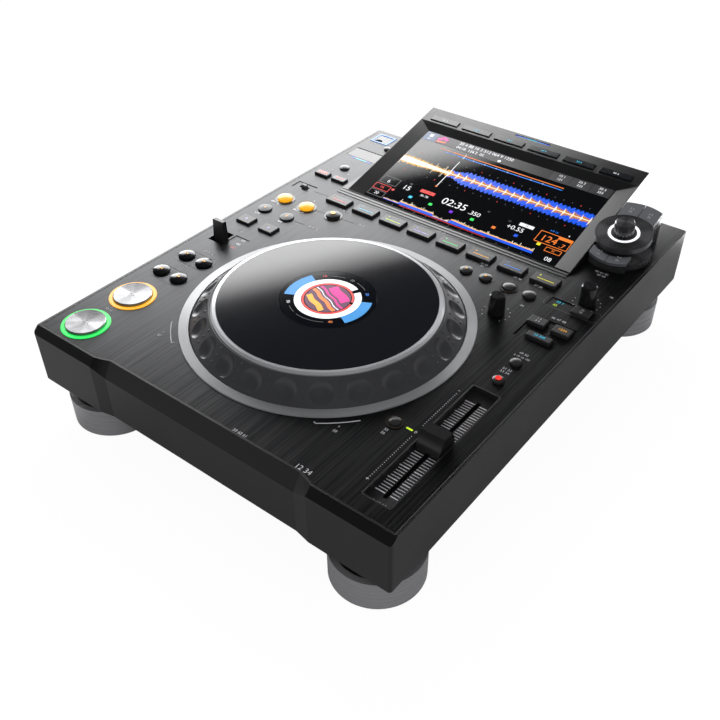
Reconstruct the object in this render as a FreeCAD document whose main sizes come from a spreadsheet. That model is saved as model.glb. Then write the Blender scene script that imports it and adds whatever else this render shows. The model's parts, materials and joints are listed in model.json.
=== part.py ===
"""Tabletop media player: a flat deck with a jog wheel, a tilted screen and rows of controls.

Frame: +X to the right, +Y to the back, +Z up, origin on the floor under the middle of the
whole box. Lengths are millimetres and angles are degrees.
"""
import FreeCAD, Part
import math
import os
import Sketcher

Vector = FreeCAD.Vector
Rotation = FreeCAD.Rotation

# Whole player
SIZES = {
    "overall_width": 329.0,
    "cabinet_depth": 424.3,
    "screen_overhang": 28.7,
    "deck_height": 85.0,
    "cabinet_height": 48.2,
}

# Casing
SIZES.update({
    "bottom_thickness": 2.0,
    "bottom_inset": 1.5,
    "bottom_gap": 0.15,
    "bottom_edge": 1.0,
    "deck_thickness": 3.0,
    "side_wall": 4.0,
    "front_wall": 9.5,
    "deck_rim": 1.8,
    "deck_gap": 0.15,
    "chamfer_run": 5.5,
    "chamfer_drop": 4.9,
    "middle_run": 7.4,
    "middle_drop": 11.2,
    "front_step": 2.4,
    "step_outer": 100.0,
    "step_inner": 88.0,
    "corner_radius": 2.5,
    "boss_radius": 4.5,
    "boss_height": 32.0,
    "screw_radius": 1.5,
    "screw_hole_gap": 0.3,
    "screw_head_radius": 3.2,
    "screw_head_height": 1.6,
    "screw_length": 9.0,
    "screw_front": 56.5,
    "screw_middle": 236.5,
    "screw_back": 77.8,
})

# Feet
SIZES.update({
    "foot_x": 34.7,
    "foot_front": 33.5,
    "foot_back": 34.3,
    "foot_radius": 33.2,
    "foot_ring_top": 26.3,
    "foot_ring_bottom": 0.8,
    "foot_ring_wall": 2.2,
    "foot_ring_lip": 1.0,
    "foot_core_gap": 0.3,
    "foot_neck_radius": 24.0,
    "foot_pad_radius": 27.0,
    "foot_pad_height": 1.5,
})

# Jog wheel, heights measured from the deck's top
SIZES.update({
    "jog_y": 143.5,
    "jog_ring_gap": 0.6,
    "jog_ring_width": 7.7,
    "jog_ring_height": 0.9,
    "jog_ring_skirt": 0.9,
    "jog_ring_depth": 5.0,
    "jog_radius": 102.8,
    "jog_rim_foot": 6.0,
    "jog_rim_edge": 0.5,
    "jog_rim_run": 15.4,
    "jog_lip_height": 14.8,
    "jog_lip_width": 0.5,
    "jog_rim_wall": 4.6,
    "jog_web_top": 13.6,
    "jog_web_thickness": 3.0,
    "jog_top": 16.6,
    "jog_trim_gap": 0.8,
    "jog_trim_width": 4.2,
    "jog_trim_bevel": 1.5,
    "jog_plate_gap": 0.1,
    "jog_display_gap": 0.4,
    "jog_hub_wall": 7.0,
    "jog_hub_depth": 9.0,
    "jog_shaft_radius": 20.0,
    "jog_shaft_gap": 0.05,
    "jog_display_radius": 36.0,
    "jog_display_thickness": 2.6,
    "jog_display_stem": 19.0,
    "jog_base_inset": 7.8,
    "jog_base_depth": 14.0,
    "jog_base_thickness": 2.0,
    "jog_post_inset": 15.0,
    "jog_post_radius": 5.0,
    "dimple_count": 24,
    "dimple_radius": 8.6,
    "dimple_depth": 2.9,
    "dimple_turn": 6.9,
})

# Push buttons in general
SIZES.update({
    "button_gap": 0.4,
    "button_travel": 1.0,
    "button_chamfer": 0.6,
    "flange_width": 0.9,
    "flange_gap": 0.3,
    "flange_thickness": 1.2,
    "stem_drop": 6.0,
})

# Play and cue, and the pairs above them
SIZES.update({
    "transport_x": 28.0,
    "play_y": 27.5,
    "cue_y": 72.5,
    "transport_radius": 15.0,
    "transport_height": 2.6,
    "transport_dish": 0.5,
    "light_ring_gap": 0.5,
    "light_ring_width": 2.8,
    "light_ring_height": 0.7,
    "light_ring_skirt": 1.9,
    "pair_x": 28.8,
    "pair_pitch": 19.4,
    "search_y": 109.9,
    "track_y": 137.6,
    "pair_radius": 6.7,
    "pair_height": 3.0,
})

# Direction lever
SIZES.update({
    "lever_x": 19.9,
    "lever_y": 176.1,
    "lever_slot_gap": 0.9,
    "lever_slot_length": 17.6,
    "lever_width": 11.6,
    "lever_height": 16.0,
    "lever_base": 6.2,
    "lever_tip": 3.7,
    "lever_axis_depth": 14.0,
    "lever_hub_radius": 3.5,
    "lever_pin_radius": 2.0,
    "lever_lug": 2.0,
    "lever_lug_gap": 0.7,
    "pin_gap": 0.05,
    "lever_window_x": 36.2,
    "lever_window_y": 176.5,
    "lever_window_width": 15.4,
    "lever_window_length": 18.6,
    "window_recess": 0.5,
})

# Beat jump, beat loop and loop buttons
SIZES.update({
    "jump_x": 31.5,
    "jump_pitch": 25.6,
    "jump_y": 208.7,
    "jump_width": 14.4,
    "jump_length": 11.6,
    "jump_height": 2.2,
    "beat_x": 30.3,
    "beat_pitch": 25.6,
    "beat_y": 233.3,
    "beat_radius": 6.1,
    "beat_height": 2.0,
    "loop_x": 32.7,
    "loop_pitch": 25.3,
    "loop_y": 257.2,
    "loop_radius": 6.5,
    "loop_height": 3.6,
    "loop_bezel_width": 2.1,
    "reloop_x": 73.5,
    "reloop_y": 260.0,
    "reloop_radius": 6.1,
    "reloop_bezel_width": 1.7,
    "bezel_height": 0.5,
    "bezel_skirt": 1.1,
})

# Left column behind the loop buttons
SIZES.update({
    "lock_x": 18.5,
    "lock_y": 285.5,
    "lock_width": 22.0,
    "lock_length": 12.0,
    "lock_slot_width": 10.0,
    "lock_slot_length": 4.0,
    "lock_knob_width": 5.0,
    "lock_knob_height": 2.4,
    "mode_x": 26.7,
    "mode_pitch": 19.7,
    "mode_y": 110.1,
    "mode_width": 14.5,
    "mode_length": 7.4,
    "mode_height": 2.4,
    "clock_x": 25.1,
    "clock_y": 88.1,
    "clock_radius": 4.4,
    "stop_x": 33.5,
    "stop_y": 31.6,
    "stop_radius": 3.0,
})

# Card door, card reader and USB port
SIZES.update({
    "card_x": 26.5,
    "card_y": 53.7,
    "card_width": 39.2,
    "card_length": 18.3,
    "door_gap": 0.4,
    "door_edge_radius": 1.35,
    "door_pin_radius": 0.9,
    "door_pin_length": 2.4,
    "reader_overlap": 2.6,
    "reader_length": 13.0,
    "reader_height": 24.0,
    "reader_depth": 9.2,
    "reader_post": 2.5,
    "card_slot_width": 24.4,
    "card_slot_length": 2.3,
    "card_slot_depth": 20.0,
    "usb_x": 17.5,
    "usb_y": 15.8,
    "usb_width": 20.0,
    "usb_length": 18.2,
    "usb_frame": 2.0,
    "usb_frame_proud": 0.4,
    "usb_frame_depth": 9.0,
    "usb_floor": 1.5,
    "usb_cover_thickness": 2.2,
    "usb_shell_width": 14.4,
    "usb_shell_length": 7.2,
    "usb_mouth_width": 12.5,
    "usb_mouth_length": 5.1,
    "usb_shell_height": 13.0,
    "usb_tongue_width": 11.1,
    "usb_tongue_length": 1.9,
    "usb_scoop_radius": 4.2,
    "usb_scoop_depth": 1.2,
})

# Hot cue row and memory row
SIZES.update({
    "hot_cue_x": 1.9,
    "hot_cue_pitch": 29.74,
    "hot_cue_y": 282.9,
    "hot_cue_width": 22.4,
    "hot_cue_length": 12.0,
    "hot_cue_height": 2.6,
    "call_x": 56.9,
    "call_pitch": 18.2,
    "delete_x": 87.5,
    "memory_x": 105.4,
    "memory_y": 258.5,
    "memory_radius": 5.0,
    "memory_height": 2.6,
    "delete_bezel_width": 2.0,
})

# Right column
SIZES.update({
    "adjust_x": 67.9,
    "adjust_y": 223.9,
    "speed_x": 19.3,
    "speed_y": 276.1,
    "knob_radius": 6.6,
    "knob_top_radius": 6.0,
    "knob_height": 16.5,
    "knob_clearance": 0.6,
    "knob_shaft_radius": 3.0,
    "knob_mark_width": 1.2,
    "mode_window_x": 34.3,
    "mode_window_y": 262.5,
    "mode_window_width": 19.6,
    "mode_window_length": 11.5,
    "jog_mode_x": 16.3,
    "jog_mode_y": 261.6,
    "jog_mode_width": 14.8,
    "jog_mode_length": 9.6,
    "sync_x": 26.5,
    "sync_y": 224.7,
    "sync_width": 35.8,
    "sync_length": 30.6,
    "sync_recess": 0.8,
    "beat_sync_x": 36.9,
    "beat_sync_y": 232.5,
    "master_x": 16.6,
    "master_y": 231.9,
    "sync_button_width": 14.0,
    "sync_button_length": 9.8,
    "key_sync_x": 26.4,
    "key_sync_y": 215.3,
    "key_sync_width": 19.8,
    "key_sync_length": 6.8,
    "sync_height": 2.2,
    "range_x": 25.7,
    "range_y": 181.0,
    "master_tempo_y": 157.3,
    "reset_x": 56.9,
    "reset_y": 80.9,
    "small_radius": 4.2,
    "small_height": 2.4,
    "reset_bezel_width": 1.6,
})

# Tempo slider
SIZES.update({
    "tempo_x": 26.0,
    "tempo_y": 81.5,
    "tempo_width": 22.6,
    "tempo_spare": 5.4,
    "tray_wall": 1.2,
    "tray_depth": 5.0,
    "tray_corner": 2.4,
    "slot_gap": 0.4,
    "slider_travel": 50.0,
    "slider_gap": 1.1,
    "slider_base": 17.4,
    "slider_back": 6.0,
    "slider_front": 2.6,
    "slider_height": 8.6,
    "slider_side": 2.4,
    "slider_curve": 22.0,
    "slider_float": 0.7,
    "slider_stem_width": 2.2,
    "slider_stem_length": 6.0,
    "fader_width": 12.0,
    "fader_inset": 2.6,
    "fader_height": 9.0,
    "fader_wall": 1.4,
})

# Screen unit, in a frame tilted about its front edge
SIZES.update({
    "screen_x": 3.2,
    "screen_y": 120.5,
    "screen_lift": 1.2,
    "screen_tilt": 13.13,
    "screen_width": 226.4,
    "screen_slope": 140.0,
    "screen_drop": 1.4,
    "screen_back_gap": 1.2,
    "screen_wall": 3.0,
    "screen_skin": 9.0,
    "screen_corner": 3.0,
    "screen_lip": 0.5,
    "screen_opening": 60.0,
    "screen_heel": 1.5,
    "tread_depth": 3.4,
    "tread_height": 0.4,
    "tread_left": 6.5,
    "tread_right": -0.4,
    "bay_left": 0.6,
    "bay_front": 0.8,
    "bay_back": 119.5,
    "bay_depth": 4.0,
    "glass_x": -0.9,
    "glass_width": 196.0,
    "glass_front": 4.0,
    "glass_back": 110.6,
    "glass_thickness": 1.6,
    "glass_gap": 0.2,
    "module_margin": 4.0,
    "module_depth": 5.0,
    "screen_button_pitch": 35.7,
    "screen_button_u": 125.6,
    "screen_button_width": 30.0,
    "screen_button_length": 6.8,
    "screen_button_height": 1.0,
    "screen_button_well": 5.0,
    "light_bar_u": 136.6,
    "light_bar_width": 36.0,
    "light_bar_length": 1.8,
    "light_bar_depth": 0.6,
})

# Selector pod
SIZES.update({
    "selector_x": 30.2,
    "selector_y": 67.8,
    "selector_height": 20.0,
    "selector_tilt": 10.0,
    "dial_radius": 22.9,
    "dial_thickness": 4.0,
    "dial_stem_radius": 16.5,
    "pod_tilt": 14.4,
    "pod_front": 30.0,
    "pod_back": 41.0,
    "pod_half_width": 16.0,
    "pod_height": 12.2,
    "drum_radius": 25.0,
    "drum_height": 5.0,
    "pod_button_gap": 0.5,
    "pod_button_height": 3.2,
    "pod_button_rest": 1.0,
    "pod_peg": 4.0,
    "pod_peg_length": 3.2,
    "selector_ring_outer": 12.9,
    "selector_ring_inner": 10.3,
    "selector_ring_depth": 1.5,
    "selector_shaft_radius": 4.0,
    "selector_spindle_radius": 3.0,
    "selector_spindle_length": 7.0,
    "selector_shaft_length": 12.0,
    "selector_travel": 1.0,
    "selector_rest": 1.3,
    "selector_knob_radius": 8.2,
    "selector_knob_height": 9.4,
    "flute_count": 18,
    "flute_radius": 0.9,
})

# Rear sockets and switch, seen from behind
SIZES.update({
    "socket_height": 58.0,
    "flange_proud": 1.2,
    "flange_border": 2.0,
    "socket_gap": 0.2,
    "inlet_x": -118.0,
    "inlet_width": 24.0,
    "inlet_height": 17.0,
    "inlet_depth": 20.0,
    "inlet_cavity": 15.0,
    "inlet_wall": 1.6,
    "inlet_pin_width": 2.0,
    "inlet_pin_height": 4.0,
    "inlet_pin_pitch": 7.0,
    "switch_x": -78.0,
    "switch_width": 13.4,
    "switch_height": 20.0,
    "switch_tilt_reach": 3.6,
    "switch_low_reach": 1.4,
    "switch_pin_radius": 1.5,
    "switch_pin_length": 2.6,
    "lan_x": 18.0,
    "lan_width": 15.6,
    "lan_height": 13.4,
    "lan_depth": 19.0,
    "lan_mouth_width": 11.8,
    "lan_mouth_height": 7.6,
    "lan_mouth_depth": 12.0,
    "data_x": 50.0,
    "data_width": 12.0,
    "data_height": 11.0,
    "data_depth": 16.0,
    "data_mouth_width": 8.6,
    "data_mouth_height": 7.9,
    "data_mouth_depth": 9.0,
    "data_post_width": 5.6,
    "data_post_height": 3.2,
    "digital_x": 82.0,
    "audio_x": 116.0,
    "audio_pitch": 18.0,
    "phono_radius": 4.15,
    "phono_hole": 1.7,
    "phono_base": 6.2,
    "phono_length": 8.0,
    "phono_depth": 12.0,
})

# Boards inside
SIZES.update({
    "board_thickness": 1.6,
    "standoff_height": 6.0,
    "standoff_radius": 3.0,
    "board_x": -42.0,
    "board_y": 89.8,
    "board_width": 190.0,
    "board_length": 120.0,
    "supply_x": 108.0,
    "supply_y": 93.8,
    "supply_width": 80.0,
    "supply_length": 130.0,
    "chip_height": 3.0,
    "transformer_height": 22.0,
})

# Places are kept as distances from the edge of the deck that they are set out from
FROM_LEFT = {
    "transport_x", "pair_x", "lever_x", "lever_window_x", "jump_x", "beat_x", "loop_x", "reloop_x",
    "lock_x", "mode_x", "clock_x", "stop_x", "card_x", "usb_x",
}
FROM_RIGHT = {
    "foot_x", "adjust_x", "speed_x", "mode_window_x", "jog_mode_x", "sync_x", "beat_sync_x",
    "master_x", "key_sync_x", "range_x", "reset_x", "tempo_x", "selector_x",
}
FROM_FRONT = {
    "screw_front", "screw_middle", "foot_front", "jog_y", "play_y", "cue_y", "search_y", "track_y",
    "lever_y", "lever_window_y", "jump_y", "beat_y", "loop_y", "reloop_y", "hot_cue_y", "memory_y",
    "adjust_y", "mode_window_y", "jog_mode_y", "sync_y", "beat_sync_y", "master_y", "key_sync_y",
    "range_y", "master_tempo_y", "reset_y", "tempo_y", "speed_y", "lock_y",
}
FROM_BACK = {
    "screw_back", "foot_back", "mode_y", "clock_y", "stop_y", "card_y", "usb_y", "screen_y",
    "selector_y", "board_y", "supply_y",
}


class Size:
    """A number together with the sheet formula that gives it."""

    def __init__(self, value, formula):
        self.value = float(value)
        self.formula = formula

    @staticmethod
    def of(other):
        return other if isinstance(other, Size) else Size(other, repr(float(other)))

    def joined(self, value, sign, other):
        return Size(value, f"({self.formula} {sign} {other.formula})")

    def __add__(self, other):
        other = Size.of(other)
        return self.joined(self.value + other.value, "+", other)

    def __sub__(self, other):
        other = Size.of(other)
        return self.joined(self.value - other.value, "-", other)

    def __mul__(self, other):
        other = Size.of(other)
        return self.joined(self.value * other.value, "*", other)

    def __truediv__(self, other):
        other = Size.of(other)
        return self.joined(self.value / other.value, "/", other)

    def __neg__(self):
        return Size.of(0) - self

    __radd__ = __add__

    def __rsub__(self, other):
        return Size.of(other) - self

    __rmul__ = __mul__


class SheetSizes:
    """Gives each named cell of the sheet as a Size, and each place as counted from its edge."""

    def __getattr__(self, name):
        cell = Size(SIZES[name], f"Sizes.{name}")
        if name in FROM_LEFT:
            return cell - half_width
        if name in FROM_RIGHT:
            return half_width - cell
        if name in FROM_FRONT:
            return front + cell
        if name in FROM_BACK:
            return back - cell
        return cell


def sine(angle):
    return Size(math.sin(math.radians(angle.value)), f"sin({angle.formula} * 1 deg)")


def cosine(angle):
    return Size(math.cos(math.radians(angle.value)), f"cos({angle.formula} * 1 deg)")


doc = FreeCAD.newDocument("media_player")
size = SheetSizes()
nodes = []


def fill_sheet():
    """Write every size as a named cell."""
    sheet = doc.addObject("Spreadsheet::Sheet", "Sizes")
    for row, (name, value) in enumerate(SIZES.items(), start=1):
        sheet.set(f"A{row}", name)
        sheet.set(f"B{row}", repr(value))
        sheet.setAlias(f"B{row}", name)
    doc.recompute()


def bind_placement(thing, prop, at, tilt=None):
    """Tie a placement's position, and its turn about X, to the sheet."""
    point = [Size.of(value) for value in at]
    angle = Size.of(0 if tilt is None else tilt)
    base = Vector(*(value.value for value in point))
    setattr(thing, prop, FreeCAD.Placement(base, Rotation(Vector(1, 0, 0), angle.value or 1e-9)))
    for axis, value in zip("xyz", point):
        thing.setExpression(f"{prop}.Base.{axis}", value.formula)
    if tilt is not None:
        thing.setExpression(f"{prop}.Rotation.Angle", angle.formula)


def new_body(name, at=(0, 0, 0), tilt=None):
    body = doc.addObject("PartDesign::Body", name)
    body.Label = name
    bind_placement(body, "Placement", at, tilt)
    return body


def keep(thing):
    """Mark a finished sub-part as one of the nodes to write."""
    nodes.append(thing)
    return thing


def gather(name, members):
    """Join like pieces, each still a solid of its own, under one name."""
    group = doc.addObject("Part::Compound", name)
    group.Label = name
    group.Links = members
    return keep(group)


def plane_of(body, role):
    """One of the planes or axes that a body is built on."""
    return next(item for item in body.Origin.OriginFeatures if item.Role == role)


def sketch_on(body, role="XY_Plane", offset=(0, 0, 0), tilt=None):
    """Start a sketch on one of the body's own planes, moved and tilted in that plane's frame."""
    sketch = body.newObject("Sketcher::SketchObject", body.Name + "_sketch")
    sketch.AttachmentSupport = (plane_of(body, role), "")
    sketch.MapMode = "FlatFace"
    bind_placement(sketch, "AttachmentOffset", offset, tilt)
    return sketch


def pin_point(sketch, geometry, end, x, y):
    """Fix a point of the sketch at a place given by the sheet."""
    for kind, value in (("DistanceX", Size.of(x)), ("DistanceY", Size.of(y))):
        index = sketch.addConstraint(Sketcher.Constraint(kind, -1, 1, geometry, end, value.value))
        name = f"{kind}_{index}"
        sketch.renameConstraint(index, name)
        sketch.setExpression(f"Constraints.{name}", value.formula)


def bind_radius(sketch, geometry, radius):
    index = sketch.addConstraint(Sketcher.Constraint("Radius", geometry, radius.value))
    sketch.renameConstraint(index, f"Radius_{index}")
    sketch.setExpression(f"Constraints.Radius_{index}", radius.formula)


def add_circle(sketch, radius, x=0, y=0):
    radius, x, y = Size.of(radius), Size.of(x), Size.of(y)
    circle = Part.Circle(Vector(x.value, y.value, 0), Vector(0, 0, 1), radius.value)
    index = sketch.addGeometry(circle, False)
    pin_point(sketch, index, 3, x, y)
    bind_radius(sketch, index, radius)


def arc_through(start, end, radius, side):
    """The short arc from start to end that swells to the left (side 1) or right (side -1)."""
    middle = (start + end) / 2
    chord = end - start
    normal = Vector(-chord.y, chord.x, 0).normalize() * side
    half = chord.Length / 2
    rise = radius - math.sqrt(max(radius * radius - half * half, 0))
    return Part.Arc(start, middle + normal * rise, end)


def add_outline(sketch, points, arcs=None):
    """Draw a closed outline through points; arcs gives (radius, side) for a numbered stretch."""
    arcs = arcs or {}
    points = [(Size.of(x), Size.of(y)) for x, y in points]
    spots = [Vector(x.value, y.value, 0) for x, y in points]
    first = sketch.GeometryCount
    count = len(points)
    for number, start in enumerate(spots):
        end = spots[(number + 1) % count]
        if number in arcs:
            radius, side = arcs[number]
            sketch.addGeometry(arc_through(start, end, Size.of(radius).value, side), False)
        else:
            sketch.addGeometry(Part.LineSegment(start, end), False)
    ends = [arc_ends(arcs.get(number)) for number in range(count)]
    for number in range(count):
        following = (number + 1) % count
        sketch.addConstraint(Sketcher.Constraint(
            "Coincident", first + number, ends[number][1], first + following, ends[following][0]))
    for number, (x, y) in enumerate(points):
        pin_point(sketch, first + number, ends[number][0], x, y)
        if number in arcs:
            bind_radius(sketch, first + number, Size.of(arcs[number][0]))


def arc_ends(arc):
    """Which end of a stretch comes first: an arc is stored anticlockwise."""
    return (2, 1) if arc and arc[1] > 0 else (1, 2)


def add_rectangle(sketch, width, length, x=0, y=0):
    x, y = Size.of(x), Size.of(y)
    half_width, half_length = Size.of(width) / 2, Size.of(length) / 2
    add_outline(sketch, [
        (x - half_width, y - half_length),
        (x + half_width, y - half_length),
        (x + half_width, y + half_length),
        (x - half_width, y + half_length),
    ])


def pad(body, sketch, length, reverse=False, middle=False):
    feature = body.newObject("PartDesign::Pad", body.Name + "_pad")
    feature.Profile = sketch
    return set_length(feature, length, reverse, middle)


def cut(body, sketch, length, reverse=False, middle=False):
    """Pocket a sketch, and make sure that it took material away."""
    before = body.Shape.Volume
    feature = body.newObject("PartDesign::Pocket", body.Name + "_cut")
    feature.Profile = sketch
    set_length(feature, length, reverse, middle)
    if body.Shape.Volume >= before - 1e-6:
        raise RuntimeError(f"{body.Name}: a cut took nothing away")
    return feature


def set_length(feature, length, reverse, middle):
    feature.setExpression("Length", Size.of(length).formula)
    feature.Reversed = reverse
    feature.Midplane = middle
    doc.recompute()
    return feature


def revolve(body, points, arcs=None):
    """Turn a profile of (radius, height) points about the body's own Z axis."""
    sketch = sketch_on(body, "XZ_Plane")
    add_outline(sketch, points, arcs)
    feature = body.newObject("PartDesign::Revolution", body.Name + "_turn")
    feature.Profile = sketch
    feature.ReferenceAxis = (sketch, ["V_Axis"])
    feature.Angle = 360
    doc.recompute()


def edges_where(feature, test):
    """Names of the feature's edges whose box passes a test."""
    return [f"Edge{number}" for number, edge in enumerate(feature.Shape.Edges, start=1)
            if test(edge.BoundBox)]


def round_edges(body, feature, names, radius):
    fillet = body.newObject("PartDesign::Fillet", body.Name + "_fillet")
    fillet.Base = (feature, names)
    fillet.setExpression("Radius", Size.of(radius).formula)
    doc.recompute()
    return fillet


def chamfer_edges(body, feature, names, width):
    chamfer = body.newObject("PartDesign::Chamfer", body.Name + "_chamfer")
    chamfer.Base = (feature, names)
    chamfer.setExpression("Size", Size.of(width).formula)
    doc.recompute()
    return chamfer


def close(value, other, limit=0.01):
    return abs(value - other) < limit


def top_edges(feature, height):
    """Edges that lie level at one height of the feature's own frame."""
    return edges_where(feature, lambda box: close(box.ZMin, height) and close(box.ZMax, height))


def upright_edges(feature, xs, ys):
    """Upright edges that stand at the corners given by xs and ys."""
    def stands(box):
        slim = box.XLength < 0.01 and box.YLength < 0.01 and box.ZLength > 0.5
        at_x = any(close(box.Center.x, Size.of(x).value) for x in xs)
        return slim and at_x and any(close(box.Center.y, Size.of(y).value) for y in ys)
    return edges_where(feature, stands)


# Levels and edges that many pieces share
deck = size.deck_height
deck_under = deck - size.deck_thickness
body_bottom = deck - size.cabinet_height
floor_top = body_bottom + size.bottom_thickness
front = -(size.cabinet_depth + size.screen_overhang) / 2
back = front + size.cabinet_depth
half_width = size.overall_width / 2
deck_step = size.front_step + size.middle_run - size.chamfer_run

# Jog wheel's circles, worked out from its rim
jog_ring_inner = size.jog_radius + size.jog_ring_gap
jog_ring_outer = jog_ring_inner + size.jog_ring_width
jog_lip_radius = size.jog_radius - size.jog_rim_run
jog_trim_radius = jog_lip_radius - size.jog_lip_width - size.jog_trim_gap
jog_trim_inner = jog_trim_radius - size.jog_trim_width
jog_base_radius = size.jog_radius - size.jog_base_inset

# Other fits that several pieces share
light_ring_inner = size.transport_radius + size.light_ring_gap
lever_slot_width = size.lever_width + 2 * size.lever_slot_gap
lever_lug_space = lever_slot_width + 2 * size.lever_lug_gap
tempo_length = 2 * (size.slider_travel + size.tray_wall) + size.slider_base + size.tempo_spare
slot_width = size.slider_stem_width + 2 * size.slot_gap
slot_length = 2 * (size.slider_travel + size.slot_gap) + size.slider_stem_length
slider_width = size.tempo_width - 2 * (size.tray_wall + size.slider_gap)


def stepped_outline(inset_side, inset_front, inset_back, step=size.front_step):
    """Plan of the casing, whose front is set back between the corner sections."""
    side = half_width - inset_side
    near = front + inset_front
    far = back - inset_back
    middle = near + step
    return [
        (-side, near), (-size.step_outer, near), (-size.step_inner, middle),
        (size.step_inner, middle), (size.step_outer, near), (side, near),
        (side, far), (-side, far),
    ]


def screw_places():
    """Where the bottom cover is screwed to the casing's bosses."""
    side = half_width - size.side_wall - size.boss_radius / 2
    rows = (size.screw_front, size.screw_middle, size.screw_back)
    return [(sign * side, y) for sign in (-1, 1) for y in rows]


# Casing

def make_bottom_plate():
    """Cover let into the casing's underside."""
    body = new_body("bottom_plate", (0, 0, body_bottom))
    inset = size.bottom_inset + size.bottom_gap
    sketch = sketch_on(body)
    add_outline(sketch, stepped_outline(inset, inset, inset))
    pad(body, sketch, size.bottom_thickness)
    holes = sketch_on(body)
    for x, y in screw_places():
        add_circle(holes, size.screw_radius + size.screw_hole_gap, x, y)
    cut(body, holes, size.bottom_thickness, reverse=True)
    keep(body)


def make_screws():
    screws = []
    for number, (x, y) in enumerate(screw_places(), start=1):
        body = new_body(f"case_screw_{number}", (x, y, body_bottom))
        revolve(body, [
            (0, -size.screw_head_height),
            (size.screw_head_radius, -size.screw_head_height),
            (size.screw_head_radius, 0),
            (size.screw_radius, 0),
            (size.screw_radius, size.screw_length),
            (0, size.screw_length),
        ])
        screws.append(body)
    gather("case_screws", screws)


def make_cabinet():
    """Casing wall: a stepped, sloping front, a ledge for the deck plate and bosses."""
    body = new_body("cabinet", (0, 0, body_bottom))
    height = size.cabinet_height
    none = Size.of(0)
    sketch = sketch_on(body)
    add_outline(sketch, stepped_outline(none, none, none))
    block = pad(body, sketch, height)
    corners = upright_edges(block, (half_width, -half_width), (front, back))
    rounded = round_edges(body, block, corners, size.corner_radius)
    round_edges(body, rounded, top_edges(rounded, 0), size.bottom_edge)
    slope_front(body, height)

    inside = sketch_on(body)
    add_outline(inside, stepped_outline(size.side_wall, size.front_wall, size.side_wall, deck_step))
    cut(body, inside, height, reverse=True)
    rebate = sketch_on(body)
    inset = size.bottom_inset
    add_outline(rebate, stepped_outline(inset, inset, inset))
    cut(body, rebate, size.bottom_thickness, reverse=True)
    ledge = sketch_on(body, offset=(0, 0, height))
    rim = size.deck_rim
    add_outline(ledge, stepped_outline(rim, size.chamfer_run + rim, rim, deck_step))
    cut(body, ledge, size.deck_thickness)
    add_bosses(body, height)


    cut_rear_openings(body)
    keep(body)


def slope_front(body, height):
    """Cut the front's upper edge to a slope, which is longer and lower between the corners."""
    side = half_width + 1
    low = [(front, size.chamfer_run, size.chamfer_drop)] * 2
    long = [(front + size.front_step, size.middle_run, size.middle_drop)] * 2
    places = (-side, -size.step_outer, -size.step_inner, size.step_inner, size.step_outer, side)
    sections = []
    for x, (near, run, drop) in zip(places, low + long + low):
        section = sketch_on(body, "YZ_Plane", (0, 0, x))
        add_outline(section, [
            (near - run, height - 2 * drop), (near + 2 * run, height + drop), (near - run, height + drop),
        ])
        sections.append(section)
    loft = body.newObject("PartDesign::SubtractiveLoft", "front_slope")
    loft.Profile = sections[0]
    loft.Sections = sections[1:]
    loft.Ruled = True
    doc.recompute()


def add_bosses(body, height):
    """Bosses on the side walls, bored for the cover's screws."""
    foot = size.bottom_thickness
    bosses = sketch_on(body, offset=(0, 0, foot))
    for x, y in screw_places():
        add_circle(bosses, size.boss_radius, x, y)
    pad(body, bosses, size.boss_height)
    holes = sketch_on(body, offset=(0, 0, foot))
    for x, y in screw_places():
        add_circle(holes, size.screw_radius + size.screw_hole_gap, x, y)
    cut(body, holes, size.screw_length + 1, reverse=True)
    trim_bosses(body, height)


def trim_bosses(body, height):
    """Take off what a boss adds outside the wall it leans on."""
    side = half_width + size.boss_radius
    sketch = sketch_on(body)
    for sign in (-1, 1):
        add_rectangle(sketch, 2 * size.boss_radius, size.cabinet_depth, sign * side, (front + back) / 2)
    if size.boss_radius.value / 2 > size.side_wall.value:
        cut(body, sketch, height, reverse=True)


def socket_places():
    """Each rear opening: place, width and height."""
    return [
        (size.inlet_x, size.inlet_width, size.inlet_height),
        (size.lan_x, size.lan_width, size.lan_height),
        (size.data_x, size.data_width, size.data_height),
        (size.switch_x, size.switch_width, size.switch_height),
    ]


def phono_places():
    half = size.audio_pitch / 2
    return [size.digital_x, size.audio_x - half, size.audio_x + half]


def cut_rear_openings(body):
    wall_middle = back - size.side_wall / 2
    level = size.socket_height - body_bottom
    sketch = sketch_on(body, "XZ_Plane", (0, 0, -wall_middle))
    gap = 2 * size.socket_gap
    for x, width, height in socket_places():
        add_rectangle(sketch, width + gap, height + gap, x, level)
    for x in phono_places():
        add_circle(sketch, size.phono_radius + 2 * size.socket_gap, x, level)
    cut(body, sketch, size.side_wall * 2, middle=True)
    pin = sketch_on(body, "YZ_Plane", (0, 0, size.switch_x))
    add_circle(pin, size.switch_pin_radius + size.pin_gap, wall_middle, level)
    cut(body, pin, size.switch_width + 2 * size.switch_pin_length + 2 * size.socket_gap, middle=True)


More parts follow.
